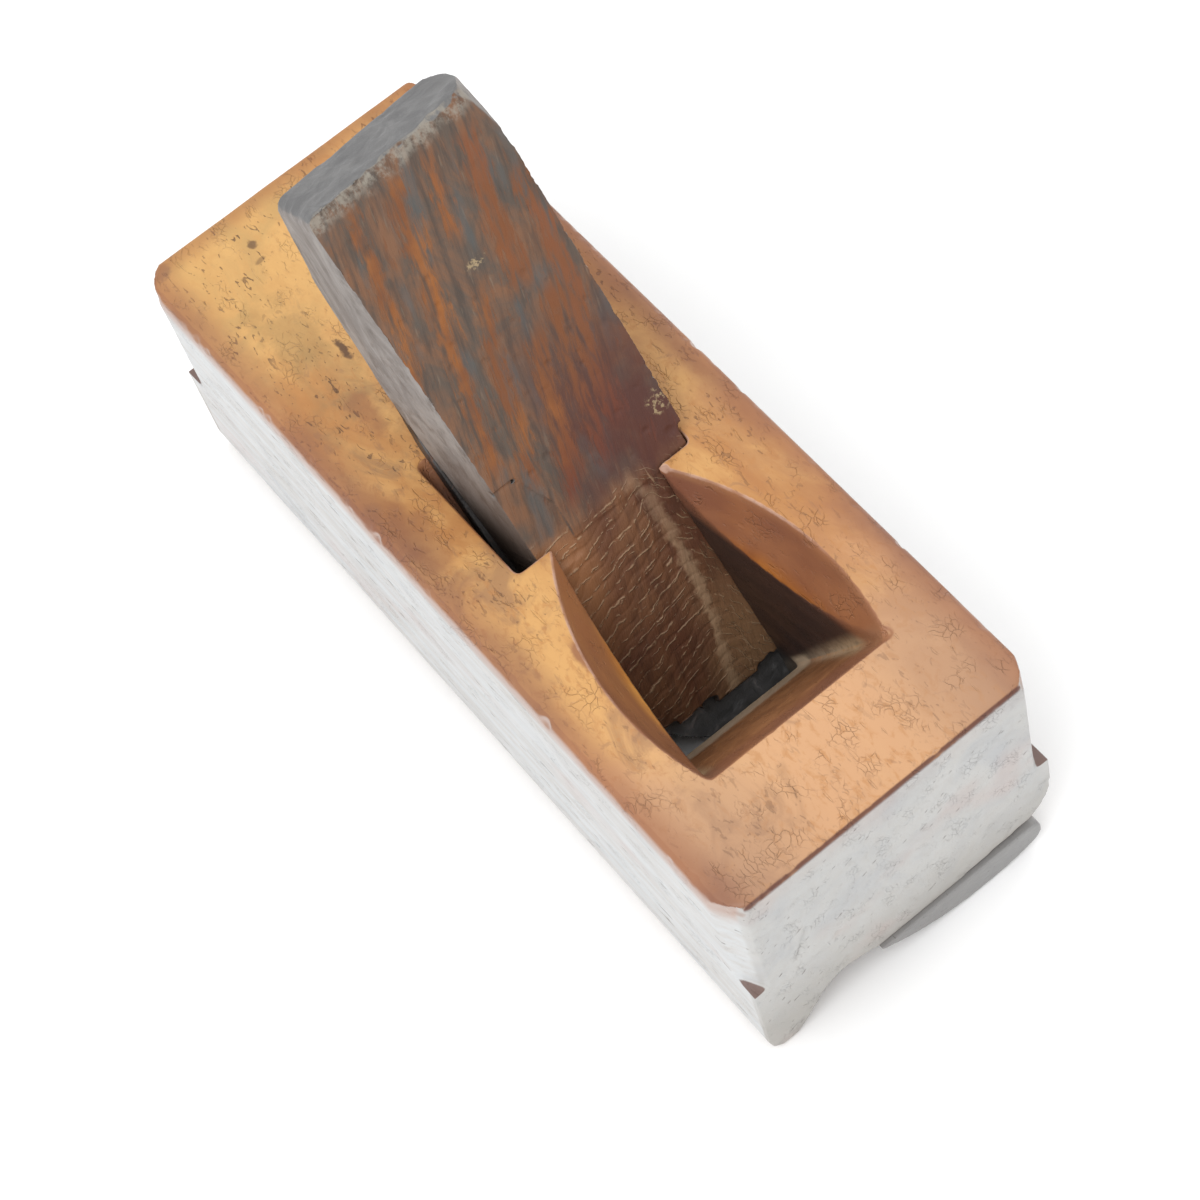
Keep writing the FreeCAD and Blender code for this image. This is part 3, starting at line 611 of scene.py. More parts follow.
        flush = g.math("MULTIPLY", g.span(x, -0.006, 0.004), g.span(t, 0.046, 0.012, 0.0, 0.9))
        flush = g.math("MULTIPLY", flush, g.span(wander, 0.34, 0.56, 0.45, 1.0))
        colour = g.mix(flush, base, (0.082, 0.026, 0.019))
        return g.mix(total, colour, hue), total

    def feathers(self, g: Graph, x, t, local, fine):
        """Pale hair scratches that branch from a ridge on the lower face.

        Args:
            g: Graph being wired.
            x: Across coordinate.
            t: Distance up the face.
            local: Face coordinates.
            fine: Fine grain noise.

        Returns:
            Colour and feather mask.
        """
        wander = g.noise(g.mapped((110, 80, 110), vector=local, shift=(0.1, 0.3, 0)), 3.0, 0.55)
        swing = g.math("SUBTRACT", wander, 0.5)
        bend = g.math("POWER", g.math("ADD", t, 0.022), 2.0)
        off = g.math("SUBTRACT", g.math("ADD", x, g.math("MULTIPLY", swing, 0.004)), 0.0092)
        off = g.math("ADD", off, g.math("MULTIPLY", bend, 4.2))
        left = g.math("MINIMUM", off, 0.0)
        right = g.math("MAXIMUM", off, 0.0)
        rise = g.math("SUBTRACT", g.math("MULTIPLY", left, 0.30), g.math("MULTIPLY", right, 1.4))
        twist = g.math("SUBTRACT", g.noise(g.mapped((300, 260, 300), vector=local), 3.0, 0.6), 0.5)
        hair = None
        for gap, lean, width, low, high in ((0.0034, 0.006, 0.10, 0.42, 0.56), (0.0021, 0.009, 0.09, 0.52, 0.64)):
            phase = g.math("ADD", g.math("SUBTRACT", t, rise), g.math("MULTIPLY", swing, lean))
            phase = g.math("ADD", phase, g.math("MULTIPLY", twist, 0.0020))
            saw = g.math("ABSOLUTE", g.math("SUBTRACT", g.math("FRACT", g.math("MULTIPLY", phase, 1.0 / gap)), 0.5))
            broken = g.noise(g.mapped((230 + 90000 * gap, 420, 260), vector=local, turn=(0, 0, -0.4)), 3.0, 0.6)
            strand = g.math("MULTIPLY", g.span(saw, width, 0.0), g.span(broken, low, high))
            hair = strand if hair is None else g.math("MAXIMUM", hair, strand)
        frayed = g.math("ADD", off, g.math("MULTIPLY", twist, 0.0045))
        spine = g.span(g.math("ABSOLUTE", frayed), 0.0017, 0.0002)
        spine = g.math("MULTIPLY", spine, g.span(t, 0.004, -0.030, 0.35, 0.95))
        thread = g.noise(g.mapped((1500, 90, 400), vector=local), 3.0, 0.6, 0.5)
        upright = g.math("MULTIPLY", g.span(thread, 0.62, 0.68), g.span(off, -0.004, 0.001))
        marks = g.math("MAXIMUM", g.math("MAXIMUM", hair, spine), g.math("MULTIPLY", upright, 0.7))
        colour = g.mix(g.span(wander, 0.35, 0.65), (0.120, 0.048, 0.027), (0.190, 0.088, 0.044))
        colour = g.mix(g.span(fine, 0.45, 0.7, 0.0, 0.5), colour, (0.070, 0.032, 0.020))
        low = g.math("MULTIPLY", g.span(t, -0.018, -0.046), g.span(off, -0.009, 0.002))
        colour = g.mix(g.math("MULTIPLY", low, g.span(wander, 0.3, 0.6, 0.55, 0.95)), colour, (0.27, 0.155, 0.080))
        edge = g.math("MULTIPLY", g.span(x, -0.0030, -0.0110), g.span(t, -0.036, -0.010))
        colour = g.mix(g.math("MULTIPLY", edge, 0.75), colour, (0.33, 0.15, 0.065))
        return g.mix(g.math("MULTIPLY", marks, 0.66), colour, Shade.FEATHER), marks

    def side(self, g: Graph, local, blot, fine):
        """Pale dusty grey of the wedge's sides."""
        colour = g.mix(g.span(blot, 0.35, 0.65), (0.265, 0.243, 0.228), (0.190, 0.168, 0.155))
        colour = g.mix(g.span(fine, 0.45, 0.70, 0.0, 0.7), colour, (0.105, 0.085, 0.073))
        x, t, d = g.axes(local)
        return g.mix(g.span(t, 0.030, 0.000, 0.0, 0.85), colour, (0.085, 0.055, 0.040))


@dataclass(frozen=True)
class DarkBoxwood:
    """Dark grey-brown close-grained wood of the sole slip."""

    def make(self) -> bpy.types.Material:
        """Build the material.

        Returns:
            The finished material.
        """
        g = Graph("dark_boxwood")
        x, y, z = g.axes(g.object)
        grain = g.noise(g.mapped((520, 30, 520)), 4.0, 0.6, 0.3)
        blot = g.noise(g.mapped((90, 40, 90)), 4.0, 0.6, 0.5)
        colour = g.mix(g.span(grain, 0.35, 0.7), (0.24, 0.205, 0.18), (0.155, 0.125, 0.105))
        colour = g.mix(g.span(blot, 0.5, 0.75, 0.0, 0.5), colour, (0.11, 0.085, 0.07))
        end = g.span(g.math("ABSOLUTE", y), 0.0905, 0.0922)
        colour = g.mix(g.math("MULTIPLY", end, 0.85), colour,
                       g.mix(g.span(x, 0.0, 0.028), (0.215, 0.212, 0.210), (0.240, 0.240, 0.240)))
        pores = g.span(g.noise(g.mapped((1400, 300, 1400)), 2.0), 0.64, 0.72)
        colour = g.mix(g.math("MULTIPLY", pores, 0.5), colour, (0.06, 0.045, 0.038))
        g.link(colour, g.shader.inputs["Base Color"])
        g.shader.inputs["Roughness"].default_value = 0.38
        g.link(g.bump(grain, 0.00015), g.shader.inputs["Normal"])
        return g.material


@dataclass(frozen=True)
class RustedSteel:
    """Old tool steel: dark brown patina, rust freckles, a ground edge."""

    def make(self) -> bpy.types.Material:
        """Build the material.

        Returns:
            The finished material.
        """
        g = Graph("rusted_steel")
        x, y, z = g.axes(g.object)
        cloud = g.noise(g.mapped((80, 80, 80)), 5.0, 0.6, 0.5)
        rust = g.noise(g.mapped((260, 260, 260)), 6.0, 0.7, 0.6)
        colour = g.mix(g.span(cloud, 0.35, 0.65), (0.060, 0.056, 0.054), (0.135, 0.130, 0.128))
        freckle = g.span(rust, 0.55, 0.68)
        colour = g.mix(g.math("MULTIPLY", freckle, 0.8), colour, (0.135, 0.055, 0.025))
        edge = g.span(z, 0.014, 0.009)
        colour = g.mix(g.math("MULTIPLY", edge, 0.55), colour, (0.34, 0.34, 0.345))
        g.link(colour, g.shader.inputs["Base Color"])
        g.link(g.math("SUBTRACT", 0.85, g.math("MULTIPLY", freckle, 0.8)), g.shader.inputs["Metallic"])
        g.link(g.span(rust, 0.3, 0.7, 0.36, 0.62), g.shader.inputs["Roughness"])
        g.link(g.bump(rust, 0.0002), g.shader.inputs["Normal"])
        return g.material


class Bench:
    """Hand tools: select, cut, press and finish a mesh."""

    @staticmethod
    def only(thing: bpy.types.Object) -> None:
        """Select one object and make it active."""
        if bpy.context.object and bpy.context.object.mode != "OBJECT":
            bpy.ops.object.mode_set(mode="OBJECT")
        bpy.ops.object.select_all(action="DESELECT")
        thing.select_set(True)
        bpy.context.view_layer.objects.active = thing

    @classmethod
    def copy_node(cls, node: str, name: str) -> bpy.types.Object:
        """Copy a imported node's mesh and merge its loose triangles.

        Args:
            node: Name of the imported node.
            name: Name of the new piece.

        Returns:
            The new object.
        """
        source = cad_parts[node]
        piece = bpy.data.objects.new(name, source.data.copy())
        bpy.context.collection.objects.link(piece)
        piece.data.materials.clear()
        cls.only(piece)
        bpy.ops.object.mode_set(mode="EDIT")
        bpy.ops.mesh.select_all(action="SELECT")
        bpy.ops.mesh.remove_doubles(threshold=1e-6)
        bpy.ops.mesh.customdata_custom_splitnormals_clear()
        bpy.ops.object.mode_set(mode="OBJECT")
        return piece

    @classmethod
    def block(cls, name: str, low, high) -> bpy.types.Object:
        """Add a box between two corners.

        Args:
            name: Name of the object.
            low: Lowest corner in metres.
            high: Highest corner in metres.

        Returns:
            The new object with its place in its mesh.
        """
        if bpy.context.object and bpy.context.object.mode != "OBJECT":
            bpy.ops.object.mode_set(mode="OBJECT")
        bpy.ops.object.select_all(action="DESELECT")
        low, high = Vector(low), Vector(high)
        bpy.ops.mesh.primitive_cube_add(size=1.0, location=(low + high) / 2.0)
        piece = bpy.context.object
        piece.name = name
        piece.scale = high - low
        bpy.ops.object.transform_apply(location=True, rotation=True, scale=True)
        return piece

    @classmethod
    def saw(cls, piece: bpy.types.Object, point, normal) -> None:
        """Cut away all that lies on the normal's side of a plane.

        Args:
            piece: Object to cut.
            point: Point on the plane in metres.
            normal: Direction of the waste.
        """
        cls.only(piece)
        bpy.ops.object.mode_set(mode="EDIT")
        bpy.ops.mesh.select_all(action="SELECT")
        bpy.ops.mesh.bisect(plane_co=tuple(point), plane_no=tuple(Vector(normal).normalized()),
                            use_fill=True, clear_outer=True, clear_inner=False, threshold=1e-7)
        bpy.ops.object.mode_set(mode="OBJECT")

    @classmethod
    def ease(cls, piece: bpy.types.Object, width: float, steps: int, pick) -> None:
        """Bevel the edges that a test picks.

        Args:
            piece: Object to bevel.
            width: Bevel width in metres.
            steps: Segments of the bevel.
            pick: Test of an edge's two ends.
        """
        cls.only(piece)
        mesh = piece.data
        for group in (mesh.vertices, mesh.edges, mesh.polygons):
            for part in group:
                part.select = False
        count = 0
        for edge in mesh.edges:
            a, b = (mesh.vertices[i].co for i in edge.vertices)
            if pick(a, b):
                edge.select = True
                count += 1
        if not count:
            raise ValueError(f"no edge picked on {piece.name}")
        bpy.ops.object.mode_set(mode="EDIT")
        bpy.ops.mesh.select_mode(type="EDGE")
        bpy.ops.mesh.bevel(offset=width, segments=steps, profile=0.5, affect="EDGES")
        bpy.ops.object.mode_set(mode="OBJECT")

    @classmethod
    def finish_with(cls, piece: bpy.types.Object, kind: str, **values) -> None:
        """Add a modifier, set it and apply it.

        Args:
            piece: Object to change.
            kind: Modifier type.
            **values: Settings of the modifier.
        """
        cls.only(piece)
        modifier = piece.modifiers.new(kind.lower(), kind)
        for name, value in values.items():
            setattr(modifier, name, value)
        bpy.ops.object.modifier_apply(modifier=modifier.name)

    @classmethod
    def carve(cls, piece: bpy.types.Object, cutter: bpy.types.Object) -> None:
        """Subtract a cutter and throw it away."""
        cls.finish_with(piece, "BOOLEAN", operation="DIFFERENCE", object=cutter, solver="EXACT")
        bpy.data.objects.remove(cutter, do_unlink=True)

    @classmethod
    def resurface(cls, piece: bpy.types.Object, voxel: float, passes: int) -> None:
        """Give a piece an even fine skin with softly worn arrises.

        Args:
            piece: Object to change.
            voxel: Cell size in metres.
            passes: Smoothing passes.
        """
        cls.finish_with(piece, "REMESH", mode="VOXEL", voxel_size=voxel, adaptivity=0.0, use_smooth_shade=True)
        cls.finish_with(piece, "SMOOTH", factor=0.5, iterations=passes)

    @classmethod
    def press(cls, piece: bpy.types.Object, weights: np.ndarray, depth: float) -> None:
        """Push the skin in along its normals by a share of a depth.

        Args:
            piece: Object to change.
            weights: Share of the depth at each vertex, 0..1.
            depth: Deepest push in metres.
        """
        group = piece.vertex_groups.new(name="press")
        levels = np.rint(np.clip(weights, 0, 1) * 60).astype(int)
        for level in range(1, 61):
            index = np.nonzero(levels == level)[0]
            if len(index):
                group.add(index.tolist(), level / 60.0, "REPLACE")
        cls.finish_with(piece, "DISPLACE", strength=-depth, mid_level=0.0,
                        direction="NORMAL", vertex_group="press")
        piece.vertex_groups.remove(piece.vertex_groups["press"])

    @classmethod
    def ripple(cls, piece: bpy.types.Object, size: float, depth: float, stretch=(1.0, 1.0, 1.0),
               turn=(0.0, 0.0, 0.0)) -> None:
        """Roughen the skin inward with a soft cloud pattern.

        Args:
            piece: Object to change.
            size: Size of the clouds in metres.
            depth: Deepest push in metres.
            stretch: Stretch of the pattern along its own axes.
            turn: Turn of the pattern in radians.
        """
        guide = bpy.data.objects.new("guide", None)
        bpy.context.collection.objects.link(guide)
        guide.rotation_euler, guide.scale = turn, stretch
        bpy.context.view_layer.update()
        clouds = bpy.data.textures.new("clouds", "CLOUDS")
        clouds.noise_scale, clouds.noise_depth = size, 3
        cls.finish_with(piece, "DISPLACE", strength=-depth, mid_level=0.0, direction="NORMAL",
                        texture=clouds, texture_coords="OBJECT", texture_coords_object=guide)
        bpy.data.objects.remove(guide, do_unlink=True)
        bpy.data.textures.remove(clouds)

    @classmethod
    def thin(cls, piece: bpy.types.Object, most: int) -> None:
        """Bring a piece under a number of triangles."""
        piece.data.calc_loop_triangles()
        have = len(piece.data.loop_triangles)
        if have > most:
            cls.finish_with(piece, "DECIMATE", ratio=most / have)
        cls.only(piece)
        bpy.ops.object.shade_smooth()

    @staticmethod
    def points(piece: bpy.types.Object) -> np.ndarray:
        """Vertex places of a piece, one row each."""
        flat = np.empty(len(piece.data.vertices) * 3, dtype=np.float32)
        piece.data.vertices.foreach_get("co", flat)
        return flat.reshape(-1, 3).astype(float)


def dents(points: np.ndarray, marks) -> np.ndarray:
    """Share of depth that a list of dents gives each vertex.

    Args:
        points: Vertex places in metres.
        marks: Rows of x, y, z, radius and share, in millimetres.

    Returns:
        One share for each vertex.
    """
    share = np.zeros(len(points))
    for x, y, z, radius, depth in marks:
        gap = np.linalg.norm(points - np.array((x, y, z)) * MM, axis=1) / (radius * MM)
        share = np.maximum(share, depth * np.clip(1.0 - gap * gap, 0.0, 1.0))
    return share


@dataclass
class Stock:
    """The plane's beech body."""

    voxel: float = 0.50 * MM
    passes: int = 5
    most: int = 185_000
    seed: int = 11

    def build(self, finish: bpy.types.Material) -> bpy.types.Object:
        """Shape and dress the stock.

        Args:
            finish: Wood material.

        Returns:
            The finished piece.
        """
        piece = Bench.copy_node("stock", "stock_body")
        Bench.resurface(piece, self.voxel, self.passes)
        Bench.press(piece, self.wear(Bench.points(piece)), 1.0 * MM)
        Bench.ripple(piece, 9.0 * MM, 0.16 * MM, stretch=(1.0, 2.5, 1.0))
        Bench.thin(piece, self.most)
        piece.data.materials.append(finish)
        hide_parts("stock")
        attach(piece, "stock")
        return piece

    def wear(self, p: np.ndarray) -> np.ndarray:
        """Nicks along the arrises and bruises on the faces.

        Args:
            p: Vertex places in metres.

        Returns:
            Share of the deepest dent at each vertex.
        """
        rng = np.random.default_rng(self.seed)
        marks = [(12.1, -92.4, 62.5, 1.2, 0.6), (-20.6, -92.4, 62.5, 1.5, 0.5),
                 (-14.0, -92.4, 62.5, 0.8, 0.4), (-3.0, -92.4, 62.5, 0.8, 0.35),
                 (-32.6, -92.0, 61.6, 2.2, 0.7), (-32.8, 92.0, 61.6, 2.6, 0.8),
                 (32.6, -92.0, 61.5, 2.0, 0.7),
                 (-34.6, -40.0, 60.8, 1.6, 0.6), (-34.6, 12.0, 60.8, 1.4, 0.5),
                 (34.6, 3.0, 60.8, 1.5, 0.5), (34.6, -56.0, 60.8, 1.3, 0.5),
                 (20.8, -68.4, 62.6, 1.5, 0.6), (-11.6, -15.2, 62.6, 1.2, 0.5),
                 (13.0, -14.4, 62.6, 1.2, 0.5)]
        for _ in range(46):
            x = rng.uniform(-32, 32)
            marks.append((x, -92.4, 62.2 + rng.uniform(-0.6, 0.3), rng.uniform(0.4, 0.8), rng.uniform(0.1, 0.28)))
        for _ in range(60):
            side = rng.choice((-1.0, 1.0))
            marks.append((side * rng.uniform(33.6, 34.8), rng.uniform(-90, 90), rng.uniform(60.3, 62.3),
                          rng.uniform(0.6, 1.5), rng.uniform(0.10, 0.30)))
        for _ in range(90):
            marks.append((rng.uniform(-33, 33), rng.uniform(-90, 90), 62.6, rng.uniform(0.5, 1.3),
                          rng.uniform(0.08, 0.26)))
        for _ in range(60):
            side = rng.choice((-1.0, 1.0))
            marks.append((side * 35.0, rng.uniform(-88, 88), rng.uniform(12, 58), rng.uniform(0.6, 1.5),
                          rng.uniform(0.1, 0.3)))
        for _ in range(50):
            end = rng.choice((-1.0, 1.0))
            marks.append((rng.uniform(-30, 30), end * 92.5, rng.uniform(14, 60), rng.uniform(0.5, 1.2),
                          rng.uniform(0.12, 0.35)))
        share = dents(p, marks)
        return np.maximum(share, self.scratch(p))

    def scratch(self, p: np.ndarray) -> np.ndarray:
        """One diagonal scratch low on the toe."""
        a, b = np.array((-24.6, -92.5, 30.0)) * MM, np.array((-21.2, -92.5, 38.5)) * MM
        run = b - a
        where = np.clip(((p - a) @ run) / (run @ run), 0.0, 1.0)
        gap = np.linalg.norm(p - (a + where[:, None] * run), axis=1)
        return 0.45 * np.clip(1.0 - (gap / (0.55 * MM)) ** 2, 0.0, 1.0)


@dataclass
class SoleSlip:
    """The dark slip let into the sole."""

    voxel: float = 0.42 * MM
    most: int = 90_000

    def build(self, finish: bpy.types.Material) -> bpy.types.Object:
        """Shape and dress the slip.

        Args:
            finish: Wood material.

        Returns:
            The finished piece.
        """
        piece = Bench.copy_node("sole_slip", "sole_slip_worn")
        Bench.resurface(piece, self.voxel, 3)
        Bench.ripple(piece, 6.0 * MM, 0.10 * MM, stretch=(1.0, 3.0, 1.0))
        Bench.thin(piece, self.most)
        piece.data.materials.append(finish)
        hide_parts("sole_slip")
        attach(piece, "stock")
        return piece


@dataclass
class Iron:
    """The profiled cutting iron."""

    voxel: float = 0.33 * MM
    most: int = 80_000

    def build(self, finish: bpy.types.Material) -> bpy.types.Object:
        """Shape and dress the iron.

        Args:
            finish: Steel material.

        Returns:
            The finished piece.
        """
        piece = Bench.copy_node("iron", "profiled_iron")
        Bench.resurface(piece, self.voxel, 2)
        p = Bench.points(piece)
        rng = np.random.default_rng(5)
        low, high = p.min(axis=0) / MM, p.max(axis=0) / MM
        marks = [(rng.uniform(low[0], high[0]), high[1] - rng.uniform(0, 3), high[2] - rng.uniform(0, 2.5),
                  rng.uniform(1.0, 2.4), rng.uniform(0.3, 0.9)) for _ in range(16)]
        Bench.press(piece, dents(p, marks), 0.6 * MM)
        Bench.ripple(piece, 3.0 * MM, 0.10 * MM)
        Bench.thin(piece, self.most)
        piece.data.materials.append(finish)
        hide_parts("iron")
        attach(piece, "iron")
        return piece


@dataclass
class Wedge:
    """The hewn hardwood wedge."""

    ear_y: float = -13.05 * MM
    ear_z: float = 62.6 * MM
    slope: float = math.radians(56.0)
    low_slope: float = math.radians(66.43)
    bed: float = math.radians(49.0)
    reach: float = 79.0 * MM
    slant: float = 0.075
    thick: float = 18.0 * MM
    side: float = 20.05 * MM
    swell_low: float = 65.1 * MM
    swell_high: float = 73.1 * MM
    tongue: float = 3.2 * MM
    voxel: float = 0.36 * MM
    most: int = 170_000
    seed: int = 23

    def at(self, x: float, t: float, depth: float = 0.0) -> Vector:
        """Point from face coordinates.

        Args:
            x: Across, in millimetres.
            t: Up the front face from the ears, in millimetres.
            depth: Out of the front face, in millimetres.

        Returns:
            The point in metres.
        """
        c, s = math.cos(self.slope), math.sin(self.slope)
        return Vector((x * MM, self.ear_y + (t * c - depth * s) * MM, self.ear_z + (t * s + depth * c) * MM))

    def build(self, finish: bpy.types.Material) -> bpy.types.Object:
        """Shape and dress the wedge.

        Args:
            finish: Wood material.

        Returns:
            The finished piece.
        """
        piece = self.hew()
        self.split(piece)
        Bench.resurface(piece, self.voxel, 3)
        p = Bench.points(piece)
        Bench.press(piece, self.bruises(p), 1.0 * MM)
        Bench.ripple(piece, 7.0 * MM, 0.28 * MM, stretch=(0.7, 2.6, 1.0), turn=(self.slope, 0, 0.0))
        Bench.ripple(piece, 1.6 * MM, 0.12 * MM, stretch=(0.6, 5.0, 1.0), turn=(self.slope, 0, 0.0))
        Bench.thin(piece, self.most)
        piece.data.materials.append(finish)
        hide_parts("wedge")
        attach(piece, "wedge")
        return piece

    def hew(self) -> bpy.types.Object:
        """Saw the wedge's body out of a block.

        Returns:
            The sawn body with eased arrises.
        """
        low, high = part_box("wedge")
        low = Vector(low) - Vector((0, 2.0 * self.tongue, 2.0 * self.tongue))
        high = Vector(high)
        piece = Bench.block("wedge_hewn", low, high)
        ear = (0, self.ear_y, self.ear_z)
        c, s = math.cos(self.slope), math.sin(self.slope)
        Bench.saw(piece, ear, (0, -s, c))
        lc, ls = math.cos(self.low_slope), math.sin(self.low_slope)
        Bench.saw(piece, ear, (0, -ls, lc))
        back_y = (51.23 - 0.07 - 92.5 + 0.869287 * 12.5) * MM
        bs, bc = math.sin(self.bed), math.cos(self.bed)
        Bench.saw(piece, (0, back_y, 12.5 * MM), (0, bs, -bc))
        tip = self.at(0, self.reach / MM)
        rise = Vector((-self.slant, c, s))
        Bench.saw(piece, tip, rise)
        swell = Bench.block("swell", (self.side, -0.1, -0.01), (high.x + 0.003, 0.1, self.swell_high))
        Bench.saw(swell, (self.side, 0, self.swell_low), (self.side - high.x, 0, self.swell_high - self.swell_low))
        Bench.carve(piece, swell)
        lift = Vector((0, (51.23 - 0.07 - 92.5 + 0.869287 * 95.8) * MM, 95.8 * MM))
        heel = self.at(0, self.reach / MM + self.slant * high.x / MM, -self.thick / MM)
        run = heel - lift
        Bench.saw(piece, lift, (0, run.z, -run.y))
        drop = self.tongue * Vector((0, -lc, -ls))
        nose = Vector((0, (58.2 + 0.7 - 92.5) * MM, 15.5 * MM)) + drop
        tail = Vector((0, back_y - self.tongue * bc * 1.15, 12.5 * MM - self.tongue * bs * 1.15))
        run = nose - tail
        Bench.saw(piece, tail, (0, run.z, -run.y) if run.z < 0 else (0, -run.z, run.y))
        a, b = self.at(-17.6, 76), self.at(-16.2, 20)
        back_low = Vector((-18.2 * MM, lift.y - 20 * MM * 0.869, lift.z - 20 * MM))
        back_top = Vector((-16.9 * MM, heel.y, heel.z))
        for one, two, three in ((a, b, back_low), (a, back_low, back_top)):
            normal = (two - one).cross(three - one)
            if normal.x > 0:
                normal.negate()
            Bench.saw(piece, one, normal)
        Bench.ease(piece, 3.6 * MM, 6, lambda p, q: min(p.x, q.x) > high.x - 0.4 * MM and
                   all(abs((v - tip).dot(rise)) < 0.3 * MM for v in (p, q)))
        Bench.ease(piece, 2.4 * MM, 4, lambda p, q: max(p.x, q.x) < -14.0 * MM and
                   all(abs((v - tip).dot(rise)) < 0.3 * MM for v in (p, q)))
        out = Vector((0, -s, c))
        front_corner = self.at(high.x / MM, (self.reach + self.slant * high.x) / MM)
        back_corner = self.at(high.x / MM, (self.reach + self.slant * high.x - 0.6 * MM) / MM, -self.thick / MM)
        for corner, way, cuts in ((front_corner, out, ((0.9, 0.7, 0.5, 3.9), (0.6, 1.0, 0.25, 3.1), (1.0, 0.35, 0.3, 3.3))),
                                  (back_corner, -out, ((0.9, 0.7, 0.5, 2.8), (0.7, 0.7, 0.2, 1.9)))):
            for right, face, up, deep in cuts:
                normal = (Vector((right, 0, 0)) + face * way + up * rise.normalized()).normalized()
                Bench.saw(piece, corner - normal * deep * MM, normal)
        Bench.ease(piece, 1.0 * MM, 3, lambda p, q: abs((q - p).normalized().x) > 0.9 and
                   (q - p).length > 10 * MM and all(abs((v - tip).dot(rise)) < 0.3 * MM for v in (p, q)))
        return piece

    def split(self, piece: bpy.types.Object) -> None:
        """Cut the lost splinter, its crack and the ragged nose."""
        c, s = math.cos(self.slope), math.sin(self.slope)
        pocket = Bench.block("pocket", (-30 * MM, -6 * MM, -1.1 * MM), (-7.4 * MM, 15.0 * MM, 6 * MM))
        Bench.saw(pocket, (-11.3 * MM, 14.9 * MM, 0), (8.9, 3.8, 0))
        self.lay(pocket, math.radians(3.0))
        Bench.carve(piece, pocket)
        crack = Bench.block("crack", (-30 * MM, 14.5 * MM, -2.6 * MM), (-11.0 * MM, 15.2 * MM, 4 * MM))
        self.lay(crack, 0.0)
        Bench.carve(piece, crack)
        shake = Bench.block("shake", (-14.2 * MM, 10.1 * MM, -1.5 * MM), (-4.8 * MM, 10.7 * MM, 4 * MM))
        self.lay(shake, 0.0, math.radians(-66.0))
        Bench.carve(piece, shake)
        for x0, x1, cut, lean in ((-25, -8.0, 51.2, 0.05), (-9.0, -2.2, 52.2, 0.10), (-2.8, 0.4, 51.6, -0.25),
                                  (12.0, 16.0, 52.4, 0.25), (15.0, 25, 51.2, 0.45)):
            nick = Bench.block("nick", (x0 * MM, -60 * MM, -30 * MM), (x1 * MM, -cut * MM, 30 * MM))
            self.lay(nick, 0.0, lean)
            Bench.carve(piece, nick)

    def lay(self, cutter: bpy.types.Object, tilt: float, swing: float = 0.0) -> None:
        """Turn a cutter drawn in face coordinates onto the face.

        Args:
            cutter: Object drawn at the origin.
            tilt: Extra tilt about the across axis.
            swing: Turn in the face.
        """
        middle = sum((Vector(v) for v in cutter.bound_box), Vector()) / 8.0
        swing_turn = Matrix.Translation(middle) @ Matrix.Rotation(swing, 4, "Z") @ Matrix.Translation(-middle)
        place = Matrix.Translation(self.at(0, 0)) @ Matrix.Rotation(self.slope + tilt, 4, "X") @ swing_turn
        cutter.matrix_world = place
        Bench.only(cutter)
        bpy.ops.object.transform_apply(location=True, rotation=True, scale=True)

    def bruises(self, p: np.ndarray) -> np.ndarray:
        """Hammer bruises, worn arrises and the feather scratches.

        Args:
            p: Vertex places in metres.

        Returns:
            Share of the deepest dent at each vertex.
        """
        rng = np.random.default_rng(self.seed)
        c, s = math.cos(self.slope), math.sin(self.slope)
        marks = []
        for _ in range(40):
            x = rng.uniform(-17, 19)
            q = self.at(x, 79.0 + 0.075 * x + rng.uniform(-0.4, 0.4), rng.uniform(-18, 0)) / MM
            marks.append((*q, rng.uniform(1.2, 3.0), rng.uniform(0.1, 0.35)))
        for _ in range(26):
            x = rng.uniform(-17, 18)
            q = self.at(x, 78.6 + 0.075 * x, rng.uniform(-0.6, 0.2)) / MM
            marks.append((*q, rng.uniform(0.7, 1.6), rng.uniform(0.2, 0.6)))
        for _ in range(60):
            q = self.at(rng.choice((-17.0, 21.2)), rng.uniform(2, 74), rng.uniform(-0.8, 0.1)) / MM
            marks.append((*q, rng.uniform(0.6, 1.4), rng.uniform(0.1, 0.35)))
        for _ in range(70):
            q = self.at(rng.uniform(-16, 19), rng.uniform(0, 74), 0.0) / MM
            marks.append((*q, rng.uniform(0.5, 1.2), rng.uniform(0.1, 0.3)))
        share = dents(p, marks)
        x = p[:, 0] / MM
        t = ((p[:, 1] - self.ear_y) * c + (p[:, 2] - self.ear_z) * s) / MM
        phase = (t - 0.42 * np.minimum(x - 8.8, 0) + 0.9 * np.maximum(x - 8.8, 0)
                 + 0.5 * np.sin(x * 0.9) + 0.3 * np.sin(t * 1.7)) / 2.9
        groove = np.clip(1.0 - np.abs(phase - np.floor(phase) - 0.5) / 0.16, 0, 1)
        depth = ((p[:, 1] - self.ear_y) * -s + (p[:, 2] - self.ear_z) * c) / MM
        zone = (t < -2) & (depth > -10.5 - 0.0) & (np.abs(x) < 17.5)
        lc, ls = math.cos(self.low_slope), math.sin(self.low_slope)
        face = np.abs((p[:, 1] - self.ear_y) * -ls + (p[:, 2] - self.ear_z) * lc) < 0.5 * MM
        return np.maximum(share, np.where(zone & face, 0.12 + 0.16 * groove, 0.0))


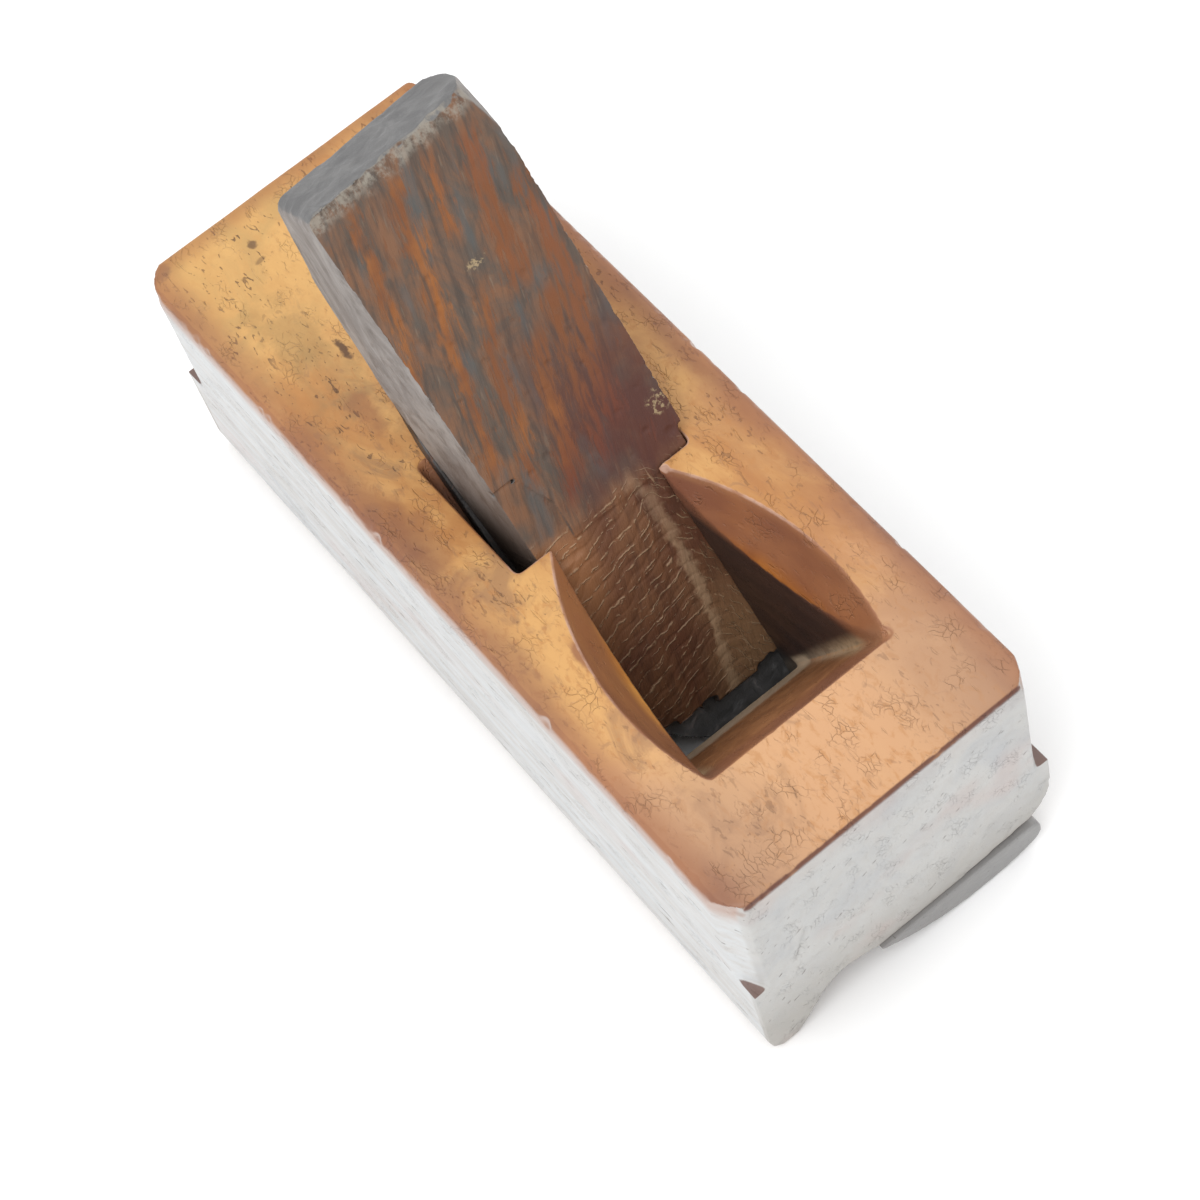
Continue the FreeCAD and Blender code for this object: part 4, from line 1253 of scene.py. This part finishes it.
@dataclass
class Studio:
    """Pale floor, soft lights and the camera."""

    aim: tuple = (-0.00475, -0.0077, 0.0251)
    azimuth: float = -20.716
    elevation: float = 59.886
    roll: float = -19.896
    distance: float = 0.62979
    lens: float = 97.73

    def build(self) -> None:
        """Add floor, world light, lamps and camera."""
        self.floor()
        self.light()
        self.camera()

    def floor(self) -> None:
        """Add the floor plane."""
        bpy.ops.object.select_all(action="DESELECT")
        bpy.ops.mesh.primitive_plane_add(size=12.0, location=(0, 0, -0.0003))
        floor = bpy.context.object
        floor.name = "floor"
        m = bpy.data.materials.new("paper_white")
        m.use_nodes = True
        p = m.node_tree.nodes["Principled BSDF"]
        p.inputs["Base Color"].default_value = (0.93, 0.93, 0.93, 1)
        p.inputs["Roughness"].default_value = 0.9
        floor.data.materials.append(m)

    def light(self) -> None:
        """Add the world light and two soft lamps."""
        scene = bpy.context.scene
        scene.view_settings.view_transform = "Standard"
        world = bpy.data.worlds.new("soft_room")
        scene.world = world
        world.use_nodes = True
        world.node_tree.nodes["Background"].inputs["Color"].default_value = (1, 1, 1, 1)
        world.node_tree.nodes["Background"].inputs["Strength"].default_value = 1.06
        for name, spot, size, power in (("key", (-0.7, -0.4, 1.3), 1.0, 9.0),
                                        ("fill", (0.9, 0.6, 1.2), 1.2, 3.0)):
            data = bpy.data.lights.new(name, "AREA")
            data.size, data.energy = size, power
            lamp = bpy.data.objects.new(name, data)
            bpy.context.collection.objects.link(lamp)
            lamp.location = spot
            lamp.rotation_mode = "QUATERNION"
            lamp.rotation_quaternion = (Vector(spot) - Vector(self.aim)).to_track_quat("Z", "Y")

    def camera(self) -> None:
        """Place the camera at its fitted angle."""
        a, e, r = (math.radians(v) for v in (self.azimuth, self.elevation, self.roll))
        back = Vector((math.sin(a) * math.cos(e), -math.cos(a) * math.cos(e), math.sin(e)))
        right = Vector((math.cos(a), math.sin(a), 0.0))
        up = back.cross(right)
        across = right * math.cos(r) + up * math.sin(r)
        upward = up * math.cos(r) - right * math.sin(r)
        place = Vector(self.aim) + back * self.distance
        data = bpy.data.cameras.new("camera")
        data.lens, data.sensor_width, data.sensor_fit = self.lens, 36.0, "AUTO"
        data.clip_start, data.clip_end = 0.01, 50.0
        camera = bpy.data.objects.new("camera", data)
        bpy.context.collection.objects.link(camera)
        turn = Matrix((across, upward, back)).transposed().to_4x4()
        camera.matrix_world = Matrix.Translation(place) @ turn
        bpy.context.scene.camera = camera


def main() -> None:
    """Build every piece and the studio."""
    logging.basicConfig(level=logging.INFO, format="%(name)s: %(message)s")
    Studio().build()
    for part, finish in ((Stock(), AgedBeech()), (SoleSlip(), DarkBoxwood()),
                         (Iron(), RustedSteel()), (Wedge(), GrimyHardwood())):
        piece = part.build(finish.make())
        piece.data.calc_loop_triangles()
        low, high = (Vector(v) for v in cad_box(piece))
        LOG.info("%s: %d triangles, %s to %s mm", piece.name, len(piece.data.loop_triangles),
                 [round(v / MM, 2) for v in low], [round(v / MM, 2) for v in high])


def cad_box(piece: bpy.types.Object):
    """Lowest and highest corner of a finished piece."""
    p = Bench.points(piece)
    return p.min(axis=0), p.max(axis=0)


if __name__ == "__main__":
    main()
